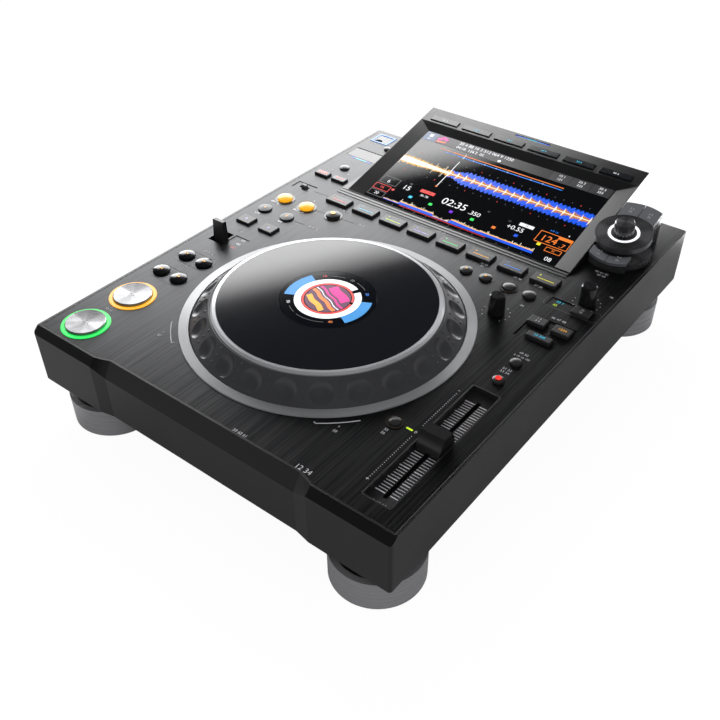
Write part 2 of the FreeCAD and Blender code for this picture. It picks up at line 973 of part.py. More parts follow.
def deck_openings():
    """Every round opening of the deck plate as (radius, x, y)."""
    gap = size.button_gap
    holes = [(jog_ring_inner + size.jog_ring_skirt + size.deck_gap, Size.of(0), size.jog_y)]
    ring = light_ring_inner + size.light_ring_skirt + size.deck_gap
    holes += [(ring, size.transport_x, y) for y in (size.play_y, size.cue_y)]
    holes += [(size.pair_radius + gap, x, y) for x, y in pair_places()]
    holes += [(size.beat_radius + gap, x, size.beat_y) for x in both(size.beat_x, size.beat_pitch)]
    holes += [(radius + gap + size.bezel_skirt + size.deck_gap, x, y)
              for radius, _, x, y in bezel_places()]
    holes += [(size.memory_radius + gap, x, size.memory_y)
              for x in (*both(size.call_x, size.call_pitch), size.memory_x)]
    holes += [(size.small_radius + gap, size.range_x, y) for y in (size.range_y, size.master_tempo_y)]
    holes += [(size.clock_radius + gap, size.clock_x, size.clock_y),
              (size.stop_radius + gap, size.stop_x, size.stop_y)]
    holes += [(size.knob_shaft_radius + size.button_gap, x, y)
              for x, y in ((size.adjust_x, size.adjust_y), (size.speed_x, size.speed_y))]
    return holes


def deck_slots():
    """Every rectangular opening of the deck plate as (width, length, x, y)."""
    gap = 2 * size.button_gap
    slots = [(lever_slot_width, size.lever_slot_length, size.lever_x, size.lever_y),
             (size.card_width, size.card_length, size.card_x, size.card_y),
             (size.usb_width + size.deck_gap * 2, size.usb_length + size.deck_gap * 2,
              size.usb_x, size.usb_y),
             (size.tempo_width + size.deck_gap * 2, tempo_length + size.deck_gap * 2,
              size.tempo_x, size.tempo_y),
             (size.lock_slot_width, size.lock_slot_length, size.lock_x, size.lock_y)]
    slots += [(width + gap, length + gap, x, y) for _, width, length, _, x, y in key_places()]
    return slots


def both(middle, pitch):
    """Two places, one on each side of a middle."""
    return (middle - pitch / 2, middle + pitch / 2)


def pair_places():
    return [(x, y) for y in (size.search_y, size.track_y)
            for x in both(size.pair_x, size.pair_pitch)]


def bezel_places():
    """Buttons that stand in a ring of their own: (cap radius, ring width, x, y)."""
    loop_left, loop_right = both(size.loop_x, size.loop_pitch)
    return [
        (size.loop_radius, size.loop_bezel_width, loop_left, size.loop_y),
        (size.loop_radius, size.loop_bezel_width, loop_right, size.loop_y),
        (size.reloop_radius, size.reloop_bezel_width, size.reloop_x, size.reloop_y),
        (size.memory_radius, size.delete_bezel_width, size.delete_x, size.memory_y),
        (size.small_radius, size.reset_bezel_width, size.reset_x, size.reset_y),
    ]


def key_places():
    """Rectangular keys: (name, width, length, height, x, y)."""
    keys = []
    for name, x in zip(("beat_jump_back_button", "beat_jump_forward_button"),
                       both(size.jump_x, size.jump_pitch)):
        keys.append((name, size.jump_width, size.jump_length, size.jump_height, x, size.jump_y))
    for number in range(8):
        x = size.hot_cue_x + size.hot_cue_pitch * (number - 3.5)
        keys.append((f"hot_cue_button_{number + 1}", size.hot_cue_width, size.hot_cue_length,
                     size.hot_cue_height, x, size.hot_cue_y))
    for name, x in zip(("slip_button", "quantize_button"), both(size.mode_x, size.mode_pitch)):
        keys.append((name, size.mode_width, size.mode_length, size.mode_height, x, size.mode_y))
    keys.append(("jog_mode_button", size.jog_mode_width, size.jog_mode_length, size.sync_height,
                 size.jog_mode_x, size.jog_mode_y))
    for name, x, y in (("beat_sync_button", size.beat_sync_x, size.beat_sync_y),
                       ("master_button", size.master_x, size.master_y)):
        keys.append((name, size.sync_button_width, size.sync_button_length, size.sync_height, x, y))
    keys.append(("key_sync_button", size.key_sync_width, size.key_sync_length, size.sync_height,
                 size.key_sync_x, size.key_sync_y))
    return keys


def make_top_panel():
    """Deck plate, with every opening, the shallow windows and the lugs of the lever."""
    body = new_body("top_panel", (0, 0, deck_under))
    inset = size.deck_rim + size.deck_gap
    sketch = sketch_on(body)
    add_outline(sketch, stepped_outline(inset, size.chamfer_run + inset, inset, deck_step))
    pad(body, sketch, size.deck_thickness)
    cut_in_batches(body, deck_openings(), add_circle)
    cut_in_batches(body, deck_slots(), add_rectangle)

    for depth, windows in (
            (size.window_recess, [
                (size.lever_window_width, size.lever_window_length,
                 size.lever_window_x, size.lever_window_y),
                (size.mode_window_width, size.mode_window_length,
                 size.mode_window_x, size.mode_window_y),
                (size.lock_width, size.lock_length, size.lock_x, size.lock_y)]),
            (size.sync_recess, [(size.sync_width, size.sync_length, size.sync_x, size.sync_y)])):
        recess = sketch_on(body, offset=(0, 0, size.deck_thickness))
        for window in windows:
            add_rectangle(recess, *window)
        cut(body, recess, depth)

    bay = sketch_on(body)
    add_rectangle(bay, size.screen_width - 2 * size.screen_wall, size.screen_opening, size.screen_x,
                  size.screen_y + size.screen_lip - size.deck_gap + size.screen_opening / 2)
    cut(body, bay, size.deck_thickness, reverse=True)

    add_lever_lugs(body)
    cut_door_pin_holes(body)
    keep(body)


def cut_in_batches(body, openings, draw, batch=8):
    """Cut openings through the plate, a few to a sketch."""
    for start in range(0, len(openings), batch):
        sketch = sketch_on(body)
        for opening in openings[start:start + batch]:
            draw(sketch, *opening)
        cut(body, sketch, size.deck_thickness, reverse=True)


def add_lever_lugs(body):
    """Two lugs folded down beside the slot carry the lever's pin."""
    depth = size.lever_axis_depth - size.deck_thickness
    radius = size.lever_hub_radius + 1
    for sign in (-1, 1):
        inner = size.lever_x + sign * lever_lug_space / 2
        place = inner if sign > 0 else inner - size.lever_lug
        plate = sketch_on(body, "YZ_Plane", (0, 0, place))
        add_outline(plate, [
            (size.lever_y - radius, Size.of(0)),
            (size.lever_y - radius, -depth - radius),
            (size.lever_y + radius, -depth - radius),
            (size.lever_y + radius, Size.of(0)),
        ])
        pad(body, plate, size.lever_lug)
        hole = sketch_on(body, "YZ_Plane", (0, 0, place))
        add_circle(hole, size.lever_pin_radius + size.pin_gap, size.lever_y, -depth)
        cut(body, hole, size.lever_lug, reverse=True)


def cut_door_pin_holes(body):
    """Holes in the edge of the card door's opening take the door's pins."""
    rear = size.card_y + size.card_length / 2 - size.door_gap - size.deck_thickness / 2
    sketch = sketch_on(body, "YZ_Plane", (0, 0, size.card_x))
    add_circle(sketch, size.door_pin_radius + size.pin_gap, rear, size.deck_thickness / 2)
    cut(body, sketch, size.card_width + 2 * size.door_pin_length, middle=True)


# Feet

def foot_places():
    return [(sign * size.foot_x, y) for sign in (-1, 1) for y in (size.foot_front, size.foot_back)]


def make_feet():
    inner = size.foot_radius - size.foot_ring_wall
    core = inner - size.foot_core_gap
    shoulder = size.foot_ring_top - size.foot_ring_lip
    rings, cores = [], []
    for number, (x, y) in enumerate(foot_places(), start=1):
        ring = new_body(f"foot_ring_{number}", (x, y, 0))
        low = size.foot_ring_bottom
        revolve(ring, [
            (inner, low), (size.foot_radius - 1, low), (size.foot_radius, low + 1),
            (size.foot_radius, size.foot_ring_top), (inner - 2, size.foot_ring_top),
            (inner - 2, shoulder), (inner, shoulder),
        ])
        rings.append(ring)
        foot = new_body(f"foot_core_{number}", (x, y, 0))
        revolve(foot, [
            (0, 0), (size.foot_pad_radius, 0), (size.foot_pad_radius, size.foot_pad_height),
            (core, size.foot_pad_height), (core, shoulder), (size.foot_neck_radius, shoulder),
            (size.foot_neck_radius, body_bottom), (0, body_bottom),
        ])
        cores.append(foot)
    gather("foot_rings", rings)
    gather("foot_cores", cores)


# Jog wheel

def make_jog_ring():
    """Flat ring let into the deck round the wheel."""
    body = new_body("jog_ring", (0, size.jog_y, deck))
    inner = jog_ring_inner
    skirt = inner + size.jog_ring_skirt
    revolve(body, [
        (inner, -size.jog_ring_depth), (skirt, -size.jog_ring_depth), (skirt, 0),
        (jog_ring_outer, 0), (jog_ring_outer - 0.4, size.jog_ring_height),
        (inner, size.jog_ring_height),
    ])
    keep(body)


def make_jog_base():
    """Fixed carrier of the wheel: a plate on four posts, with the shaft that the hub turns on."""
    body = new_body("jog_base", (0, size.jog_y, deck))
    under = -size.jog_base_depth
    shaft_top = size.jog_top - size.jog_display_thickness - 2
    revolve(body, [
        (0, under), (jog_base_radius, under),
        (jog_base_radius, under + size.jog_base_thickness),
        (size.jog_shaft_radius, under + size.jog_base_thickness),
        (size.jog_shaft_radius, shaft_top), (0, shaft_top),
    ])
    posts = sketch_on(body, offset=(0, 0, under))
    reach = (jog_base_radius - size.jog_post_inset) * math.sqrt(0.5)
    for sign_x in (-1, 1):
        for sign_y in (-1, 1):
            add_circle(posts, size.jog_post_radius, sign_x * reach, sign_y * reach)
    pad(body, posts, deck + under - floor_top, reverse=True)
    keep(body)


def make_jog_rim():
    """Moulded rim, web and hub; finger dimples run round its slope."""
    body = new_body("jog_rim", (0, size.jog_y, deck))
    radius, lip = size.jog_radius, jog_lip_radius
    web_top = size.jog_web_top
    web_under = web_top - size.jog_web_thickness
    bore = size.jog_shaft_radius + size.jog_shaft_gap
    hub = size.jog_shaft_radius + size.jog_hub_wall
    wall = size.jog_rim_wall
    revolve(body, [
        (bore, -size.jog_hub_depth), (hub, -size.jog_hub_depth),
        (hub, web_under), (lip - wall, web_under),
        (radius - wall, -size.jog_rim_edge), (radius - wall, -size.jog_rim_foot),
        (radius, -size.jog_rim_foot), (radius, size.jog_rim_edge),
        (lip, size.jog_lip_height), (lip - size.jog_lip_width, size.jog_lip_height),
        (lip - size.jog_lip_width, web_top), (bore, web_top),
    ])
    dimple = body.newObject("PartDesign::SubtractiveSphere", "dimple")
    dimple.AttachmentSupport = (plane_of(body, "XY_Plane"), "")
    dimple.MapMode = "FlatFace"
    rise = size.jog_lip_height - size.jog_rim_edge
    run = radius - lip
    slope = math.degrees(math.atan2(rise.value, run.value))
    ball = (size.dimple_radius * size.dimple_radius + size.dimple_depth * size.dimple_depth) / (
        2 * size.dimple_depth)
    lift = ball - size.dimple_depth
    out = (radius + lip) / 2 + lift * math.sin(math.radians(slope))
    up = (size.jog_lip_height + size.jog_rim_edge) / 2 + lift * math.cos(math.radians(slope))
    dimple.setExpression("Radius", ball.formula)
    turn = math.radians(size.dimple_turn.value)
    bind_placement(dimple, "AttachmentOffset", (out * math.cos(turn), out * math.sin(turn), up))
    ring = body.newObject("PartDesign::PolarPattern", "dimples")
    ring.Originals = [dimple]
    ring.Axis = (plane_of(body, "Z_Axis"), [""])
    ring.Angle = 360
    ring.setExpression("Occurrences", size.dimple_count.formula)
    body.Tip = ring
    doc.recompute()
    keep(body)


def make_jog_trim():
    """Bright bevelled ring between the rim and the top plate."""
    body = new_body("jog_trim_ring", (0, size.jog_y, deck))
    outer, inner, bevel = jog_trim_radius, jog_trim_inner, size.jog_trim_bevel
    revolve(body, [
        (inner, size.jog_web_top), (outer, size.jog_web_top), (outer, size.jog_top - bevel),
        (outer - bevel, size.jog_top), (inner + 0.4, size.jog_top), (inner, size.jog_top - 0.4),
    ])
    keep(body)
    plate = new_body("jog_top_plate", (0, size.jog_y, deck))
    edge = inner - size.jog_plate_gap
    hole = size.jog_display_radius + size.jog_display_gap
    revolve(plate, [
        (hole, size.jog_web_top), (edge, size.jog_web_top), (edge, size.jog_top), (hole, size.jog_top),
    ])
    keep(plate)


def make_jog_display():
    """Round display that stays still in the middle of the turning plate."""
    body = new_body("jog_display", (0, size.jog_y, deck))
    low = size.jog_top - size.jog_display_thickness
    revolve(body, [
        (0, low - 2), (size.jog_display_stem, low - 2), (size.jog_display_stem, low),
        (size.jog_display_radius, low), (size.jog_display_radius, size.jog_top), (0, size.jog_top),
    ])
    keep(body)


# Controls on the deck

def make_round_button(name, x, y, radius, height, dome, bezel=False):
    """Round cap with a slightly domed top, a stem through the plate and a flange under it."""
    body = new_body(name, (x, y, deck))
    flange_top = -size.deck_thickness - size.flange_gap
    spread = radius + size.button_gap + size.flange_width
    if bezel:
        flange_top = flange_top - size.flange_thickness
        spread = spread + size.bezel_skirt
    flange_low = flange_top - size.flange_thickness
    shoulder = height - dome
    ball = (radius * radius + dome * dome) / (2 * dome)
    revolve(body, [
        (0, flange_low), (spread, flange_low), (spread, flange_top), (radius, flange_top),
        (radius, shoulder), (0, height),
    ], arcs={4: (ball, -1)})
    return body


def make_key(name, width, length, height, x, y):
    """Rectangular cap with chamfered edges and a flange under the plate."""
    body = new_body(name, (x, y, deck))
    flange_top = -size.deck_thickness - size.flange_gap
    cap = sketch_on(body, offset=(0, 0, flange_top))
    add_rectangle(cap, width, length)
    block = pad(body, cap, height - flange_top)
    chamfer_edges(body, block, top_edges(block, height.value), size.button_chamfer)
    base = sketch_on(body, offset=(0, 0, flange_top - size.flange_thickness))
    spread = 2 * (size.button_gap + size.flange_width)
    add_rectangle(base, width + spread, length + spread)
    pad(body, base, size.flange_thickness)
    return body


def make_transport():
    """Play and cue, each a wide cap inside a lit ring, and the search and track pairs."""
    for name, y in (("play_button", size.play_y), ("cue_button", size.cue_y)):
        keep(make_ringed_cap(name, y))
    names = ("search_back_button", "search_forward_button",
             "track_back_button", "track_forward_button")
    for name, (x, y) in zip(names, pair_places()):
        keep(make_round_button(name, x, y, size.pair_radius, size.pair_height, Size.of(1.4)))


def make_ringed_cap(name, y):
    """Wide flat cap, dished in the middle, with its flange under the ring's skirt."""
    body = new_body(name, (size.transport_x, y, deck))
    radius, height = size.transport_radius, size.transport_height
    low = -size.deck_thickness - size.flange_gap
    spread = light_ring_inner + size.flange_width
    dish = size.transport_dish
    face = radius - size.button_chamfer
    ball = (face * face + dish * dish) / (2 * dish)
    revolve(body, [
        (0, low - size.flange_thickness), (spread, low - size.flange_thickness), (spread, low),
        (radius, low), (radius, height - size.button_chamfer), (face, height), (0, height - dish),
    ], arcs={5: (ball, 1)})
    return body


def make_light_rings():
    """Clear rings round play, cue and the selector, lit from below."""
    rings = []
    for name, y in (("play_light_ring", size.play_y), ("cue_light_ring", size.cue_y)):
        body = new_body(name, (size.transport_x, y, deck))
        inner, outer = light_ring_inner, light_ring_inner + size.light_ring_width
        skirt = inner + size.light_ring_skirt
        revolve(body, [
            (inner, -size.deck_thickness), (skirt, -size.deck_thickness), (skirt, 0), (outer, 0),
            (outer - 0.3, size.light_ring_height), (inner, size.light_ring_height),
        ])
        rings.append(body)
    body = new_body("selector_light_ring", dial_at(), size.selector_tilt)
    inner, outer = size.selector_ring_inner + size.deck_gap, size.selector_ring_outer - size.deck_gap
    revolve(body, [
        (inner, -size.selector_ring_depth), (outer, -size.selector_ring_depth),
        (outer, 0.1), (inner, 0.1),
    ])
    rings.append(body)
    gather("light_rings", rings)


def make_bezels():
    bezels = []
    for number, (radius, width, x, y) in enumerate(bezel_places(), start=1):
        body = new_body(f"button_bezel_{number}", (x, y, deck))
        inner = radius + size.button_gap
        outer = inner + width
        skirt = inner + size.bezel_skirt
        revolve(body, [
            (inner, -size.deck_thickness), (skirt, -size.deck_thickness), (skirt, 0), (outer, 0),
            (outer, size.bezel_height), (inner, size.bezel_height),
        ])
        bezels.append(body)
    gather("button_bezels", bezels)


def make_loop_buttons():
    """Beat jump, beat loop, loop in, loop out and reloop."""
    left, right = both(size.beat_x, size.beat_pitch)
    for name, x in (("beat_loop_short_button", left), ("beat_loop_long_button", right)):
        keep(make_round_button(name, x, size.beat_y, size.beat_radius, size.beat_height, Size.of(0.5)))
    names = ("loop_in_button", "loop_out_button", "reloop_button")
    for name, (radius, _, x, y) in zip(names, bezel_places()):
        keep(make_round_button(name, x, y, radius, size.loop_height, Size.of(1.2)))


def make_keys():
    """All rectangular keys; the small ones are joined in groups."""
    groups = {"slip_button": "mode", "quantize_button": "mode", "jog_mode_button": "mode",
              "beat_sync_button": "sync", "master_button": "sync", "key_sync_button": "sync"}
    made = {"mode": [], "sync": []}
    for name, width, length, height, x, y in key_places():
        key = make_key(name, width, length, height, x, y)
        if name in groups:
            made[groups[name]].append(key)
        else:
            keep(key)
    made["mode"].append(make_round_button("time_mode_button", size.clock_x, size.clock_y,
                                          size.clock_radius, size.small_height, Size.of(1.0)))
    made["mode"].append(make_round_button("usb_stop_button", size.stop_x, size.stop_y,
                                          size.stop_radius, size.small_height, Size.of(0.6)))
    gather("mode_buttons", made["mode"])
    gather("sync_buttons", made["sync"])


def make_memory_and_tempo_buttons():
    dome = Size.of(1.0)
    places = [(f"call_button_{number}", x) for number, x in
              enumerate(both(size.call_x, size.call_pitch), start=1)]
    places += [("delete_button", size.delete_x), ("memory_button", size.memory_x)]
    gather("memory_buttons", [
        make_round_button(name, x, size.memory_y, size.memory_radius, size.memory_height, dome)
        for name, x in places])
    spots = [("tempo_range_button", size.range_x, size.range_y),
             ("master_tempo_button", size.range_x, size.master_tempo_y),
             ("tempo_reset_button", size.reset_x, size.reset_y)]
    gather("tempo_buttons", [
        make_round_button(name, x, y, size.small_radius, size.small_height, dome)
        for name, x, y in spots])


def make_lever():
    """Tapered lever on a cross pin under the deck."""
    body = new_body("direction_lever", (size.lever_x, size.lever_y, deck - size.lever_axis_depth))
    top = size.lever_axis_depth + size.lever_height
    base, tip = size.lever_base / 2, size.lever_tip / 2
    blade = sketch_on(body, "YZ_Plane")
    add_outline(blade, [
        (-base + 0.6, 0), (base - 0.6, 0), (base, size.lever_axis_depth), (tip, top),
        (-tip, top), (-base, size.lever_axis_depth),
    ])
    arm = pad(body, blade, size.lever_width, middle=True)
    round_edges(body, arm, top_edges(arm, top.value), 0.5)
    hub = sketch_on(body, "YZ_Plane")
    add_circle(hub, size.lever_hub_radius)
    pad(body, hub, lever_lug_space - 0.6, middle=True)
    pin = sketch_on(body, "YZ_Plane")
    add_circle(pin, size.lever_pin_radius)
    pad(body, pin, lever_lug_space + 2 * size.lever_lug, middle=True)
    keep(body)


def make_lock_switch():
    """Small sliding switch in its window."""
    body = new_body("lock_switch", (size.lock_x, size.lock_y, deck))
    gap = 2 * size.button_gap
    stem = sketch_on(body, offset=(0, 0, -size.deck_thickness - 1.5))
    add_rectangle(stem, size.lock_knob_width, size.lock_slot_length - gap)
    pad(body, stem, size.deck_thickness + size.lock_knob_height + 1.5)
    foot = sketch_on(body, offset=(0, 0, -size.deck_thickness - 1.5))
    add_rectangle(foot, size.lock_slot_width, size.lock_slot_length + 2)
    pad(body, foot, 1.2)
    keep(body)


def make_knob(name, x, y):
    """Tall tapered knob on a shaft, with a pointer groove cut across its top."""
    body = new_body(name, (x, y, deck))
    low, top = size.knob_clearance, size.knob_height
    revolve(body, [
        (0, -size.deck_thickness - size.stem_drop),
        (size.knob_shaft_radius, -size.deck_thickness - size.stem_drop),
        (size.knob_shaft_radius, low), (size.knob_radius, low), (size.knob_radius, low + 1.2),
        (size.knob_top_radius, top - 1.0), (size.knob_top_radius - 1.0, top), (0, top),
    ])
    mark = sketch_on(body, offset=(0, 0, top))
    add_rectangle(mark, size.knob_mark_width, size.knob_top_radius, 0, size.knob_top_radius / 2)
    cut(body, mark, 0.5)
    keep(body)


def make_tempo_slider():
    tray = new_body("tempo_tray", (size.tempo_x, size.tempo_y, deck))
    floor = size.tray_depth + size.tray_wall
    outer = sketch_on(tray, offset=(0, 0, -floor))
    add_rectangle(outer, size.tempo_width, tempo_length)
    block = pad(tray, outer, floor)
    half_x, half_y = size.tempo_width / 2, tempo_length / 2
    round_edges(tray, block, upright_edges(block, (half_x, -half_x), (half_y, -half_y)),
                size.tray_corner - size.tray_wall)
    well = sketch_on(tray)
    add_rectangle(well, size.tempo_width - 2 * size.tray_wall, tempo_length - 2 * size.tray_wall)
    cut(tray, well, size.tray_depth)
    slot = sketch_on(tray)
    add_rectangle(slot, slot_width, slot_length)
    cut(tray, slot, floor)

    fader = new_body("tempo_fader", (size.tempo_x, size.tempo_y, deck - floor - size.fader_height))
    fader_length = tempo_length - 2 * size.fader_inset
    case = sketch_on(fader)
    add_rectangle(case, size.fader_width, fader_length)
    pad(fader, case, size.fader_height)
    hollow = sketch_on(fader, offset=(0, 0, size.fader_height))
    add_rectangle(hollow, size.fader_width - 2 * size.fader_wall, fader_length - 4)
    cut(fader, hollow, size.fader_height - size.fader_wall)
    gather("tempo_tray_and_fader", [tray, fader])

    slider = new_body("tempo_slider", (size.tempo_x, size.tempo_y, deck))
    low = size.slider_float - size.tray_depth
    half = size.slider_base / 2
    profile = sketch_on(slider, "YZ_Plane")
    add_outline(profile, [
        (-half, low), (half, low), (half, low + size.slider_side), (size.slider_back, size.slider_height),
        (-size.slider_front, size.slider_height), (-half, low + size.slider_side),
    ], arcs={2: (size.slider_curve, -1), 4: (size.slider_curve, -1)})
    pad(slider, profile, slider_width, middle=True)
    stem = sketch_on(slider, offset=(0, 0, low))
    add_rectangle(stem, size.slider_stem_width, size.slider_stem_length)
    pad(slider, stem, floor - size.tray_depth + size.slider_float + size.fader_height / 2, reverse=True)
    keep(slider)


# Card door and ports

def make_card_door():
    """Lid that lies flush in the deck and swings up about pins at its rear edge."""
    gap = size.door_gap
    rear = size.card_y + size.card_length / 2 - gap - size.deck_thickness / 2
    body = new_body("card_door", (size.card_x, rear, deck - size.deck_thickness / 2))
    add_lid(body, size.card_width - 2 * gap, size.card_length - 2 * gap, size.deck_thickness,
            size.card_width + 2 * size.door_pin_length, size.door_edge_radius)
    keep(body)


def add_lid(body, width, length, thickness, pin_span, edge):
    """Flat lid whose rounded rear edge and pins share one axis, the body's own X axis."""
    far = thickness / 2
    plate = sketch_on(body, offset=(0, 0, -far))
    add_rectangle(plate, width, length, 0, far - length / 2)
    slab = pad(body, plate, thickness)
    names = edges_where(slab, lambda box: close(box.YMin, far.value) and box.ZLength < 0.01
                        and box.XLength > 1)
    round_edges(body, slab, names, edge)
    pin = sketch_on(body, "YZ_Plane")
    add_circle(pin, size.door_pin_radius)
    pad(body, pin, pin_span, middle=True)


def make_card_reader():
    """Reader block hung under the deck by two end posts, with its slot facing up."""
    body = new_body("card_reader", (size.card_x, size.card_y, deck - size.reader_depth))
    width = size.card_width + 2 * size.reader_overlap
    block = sketch_on(body)
    add_rectangle(block, width, size.reader_length)
    pad(body, block, size.reader_height, reverse=True)
    posts = sketch_on(body)
    reach = (width - size.reader_post) / 2
    for sign in (-1, 1):
        add_rectangle(posts, size.reader_post, size.reader_length, sign * reach, 0)
    pad(body, posts, size.reader_depth - size.deck_thickness)
    slot = sketch_on(body)
    add_rectangle(slot, size.card_slot_width, size.card_slot_length)
    cut(body, slot, size.card_slot_depth)
    keep(body)


def make_usb_port():
    """Lit frame let into the deck, with the socket in its floor and a hinged cover."""
    frame = new_body("usb_light_frame", (size.usb_x, size.usb_y, deck - size.usb_frame_depth))
    height = size.usb_frame_depth + size.usb_frame_proud
    inner_width = size.usb_width - 2 * size.usb_frame
    inner_length = size.usb_length - 2 * size.usb_frame
    outer = sketch_on(frame)
    add_rectangle(outer, size.usb_width, size.usb_length)
    pad(frame, outer, height)
    well = sketch_on(frame, offset=(0, 0, height))
    add_rectangle(well, inner_width, inner_length)
    cut(frame, well, height - size.usb_floor)
    mouth = sketch_on(frame)
    add_rectangle(mouth, size.usb_shell_width + 0.2, size.usb_shell_length + 0.2)
    cut(frame, mouth, size.usb_floor, reverse=True)
    gap = size.door_gap
    rear = inner_length / 2 - gap - size.usb_cover_thickness / 2
    level = height - size.usb_cover_thickness / 2 - size.usb_frame_proud / 2
    pins = sketch_on(frame, "YZ_Plane")
    add_circle(pins, size.door_pin_radius + size.pin_gap, rear, level)
    cut(frame, pins, inner_width + 2, middle=True)

    shell = new_body("usb_socket", (size.usb_x, size.usb_y, deck - size.usb_frame_depth + size.usb_floor))
    case = sketch_on(shell)
    add_rectangle(case, size.usb_shell_width, size.usb_shell_length)
    pad(shell, case, size.usb_shell_height, reverse=True)
    hole = sketch_on(shell)
    add_rectangle(hole, size.usb_mouth_width, size.usb_mouth_length)
    cut(shell, hole, size.usb_shell_height - 1.5)
    tongue = sketch_on(shell, offset=(0, 0, 1.5 - size.usb_shell_height))
    add_rectangle(tongue, size.usb_tongue_width, size.usb_tongue_length,
                  0, (size.usb_mouth_length - size.usb_tongue_length) / 2 - 0.3)
    pad(shell, tongue, size.usb_shell_height - 3.5)
    gather("usb_port", [frame, shell])

    cover = new_body("usb_cover", (size.usb_x, size.usb_y + rear, deck - size.usb_frame_depth + level))
    width, length = inner_width - 2 * gap, inner_length - 2 * gap
    thickness = size.usb_cover_thickness
    add_lid(cover, width, length, thickness, inner_width + 1.6, thickness / 2 - 0.15)
    scoop = sketch_on(cover, offset=(0, 0, thickness / 2))
    add_circle(scoop, size.usb_scoop_radius, -2, thickness / 2 - length)
    cut(cover, scoop, size.usb_scoop_depth)
    keep(cover)


# Screen unit

def screen_point(along, above):
    """A point of the tilted screen frame, in the housing's own Y and Z."""
    tilt = size.screen_tilt
    return (along * cosine(tilt) - above * sine(tilt),
            along * sine(tilt) + above * cosine(tilt) + size.screen_lift)


def on_screen(x, along, above):
    """A point of the tilted screen frame, in the player's frame."""
    y, z = screen_point(along, above)
    return (size.screen_x + x, size.screen_y + y, deck + z)


def make_screen_housing():
    """Wedge that holds the screen, hollow inside, with a sunk bay for the display."""
    body = new_body("screen_housing", (size.screen_x, size.screen_y, deck))
    far = back - size.screen_y
    low = far + size.screen_back_gap
    top_y, top_z = screen_point(size.screen_slope, Size.of(0))
    heel_y = far + size.screen_overhang + size.screen_heel
    profile = sketch_on(body, "YZ_Plane")
    add_outline(profile, [
        (0, 0), (low, 0), (low, -size.screen_drop), (heel_y, -size.screen_drop),
        (top_y, top_z), (0, size.screen_lift),
    ])
    wedge = pad(body, profile, size.screen_width, middle=True)
    heel = edges_where(wedge, lambda box: close(box.YMin, heel_y.value) and box.XLength > 1)
    round_edges(body, wedge, heel, size.screen_corner)

    near_y = screen_meets_deck() + size.screen_wall
    rear_y = top_y - size.screen_wall
    ledge = far - 2 * size.screen_wall
    hollow = sketch_on(body, "YZ_Plane")
    add_outline(hollow, [
        (near_y, 0), (ledge, 0), (ledge, size.screen_wall), (rear_y, size.screen_wall),
        (rear_y, screen_underside(rear_y)), (near_y, screen_underside(near_y)),
    ])
    cut(body, hollow, size.screen_width - 2 * size.screen_wall, middle=True)

    add_treads(body)
    add_tub(body)
    cut_display_bay(body)
    cut_screen_wells(body)
    keep(body)


def screen_underside(y):
    """Height of the panel's underside at a place along the housing."""
    tilt = size.screen_tilt
    return size.screen_lift + y * sine(tilt) / cosine(tilt) - size.screen_skin / cosine(tilt)


def screen_meets_deck():
    """Where the panel's underside comes level with the deck."""
    tilt = size.screen_tilt
    return (size.screen_skin - size.screen_lift * cosine(tilt)) / sine(tilt)


def add_tub(body):
    """Front of the panel, which drops through the deck so that the display can lie low."""
    lip = size.screen_lip
    tub = sketch_on(body, "YZ_Plane")
    add_outline(tub, [(lip, 0.5), (lip, screen_underside(lip)), (screen_meets_deck() + 1, 0.5)])
    pad(body, tub, size.screen_width - 2 * size.screen_wall - 2 * size.deck_gap, middle=True)


def add_treads(body):
    """Two low terraces lead up to the screen's front edge, and a plinth runs along its left side."""
    left = -size.screen_width / 2 - size.tread_left
    right = size.screen_width / 2 + size.tread_right
    for number in (2, 1):
        tread = sketch_on(body, "YZ_Plane", (0, 0, left))
        depth = number * size.tread_depth
        height = (3 - number) * size.tread_height
        add_outline(tread, [(-depth, 0), (1, 0), (1, height), (-depth, height)])
        pad(body, tread, right - left)
    plinth = sketch_on(body, "YZ_Plane", (0, 0, left))
    far = back - size.screen_y - size.deck_rim - size.deck_gap
    add_outline(plinth, [(0, 0), (far, 0), (far, size.screen_lift), (0, size.screen_lift)])
    pad(body, plinth, size.tread_left + 1)


def tilted_sketch(body, above):
    """Sketch on the screen's slope, whose own X runs right and Y runs up the slope."""
    y, z = screen_point(Size.of(0), above)
    return sketch_on(body, offset=(0, y, z), tilt=size.screen_tilt)


def cut_display_bay(body):
    """Bay with sloping sides, then the seat of the glass and the window of the module."""
    mouth = tilted_sketch(body, Size.of(0))
    half = size.screen_width / 2 - size.bay_left
    add_outline(mouth, [(-half, size.bay_front), (half, size.bay_front),
                        (half, size.bay_back), (-half, size.bay_back)])
    floor = tilted_sketch(body, -size.bay_depth)
    left = size.glass_x - size.glass_width / 2
    right = size.glass_x + size.glass_width / 2
    add_outline(floor, [(left, size.glass_front), (right, size.glass_front),
                        (right, size.glass_back), (left, size.glass_back)])
    before = body.Shape.Volume
    bay = body.newObject("PartDesign::SubtractiveLoft", "display_bay")
    bay.Profile = mouth
    bay.Sections = [floor]
    bay.Ruled = True
    doc.recompute()
    if body.Shape.Volume >= before:
        raise RuntimeError("the display bay cut nothing")
    gap = size.glass_gap
    middle = (size.glass_front + size.glass_back) / 2
    length = size.glass_back - size.glass_front
    seat = tilted_sketch(body, -size.bay_depth)
    add_rectangle(seat, size.glass_width + 2 * gap, length + 2 * gap, size.glass_x, middle)
    cut(body, seat, size.glass_thickness)
    margin = 2 * size.module_margin
    window = tilted_sketch(body, -size.bay_depth)
    add_rectangle(window, size.glass_width - margin, length - margin, size.glass_x, middle)
    cut(body, window, size.screen_skin)


def screen_button_places():
    return [size.screen_button_pitch * (number - 2.5) for number in range(6)]


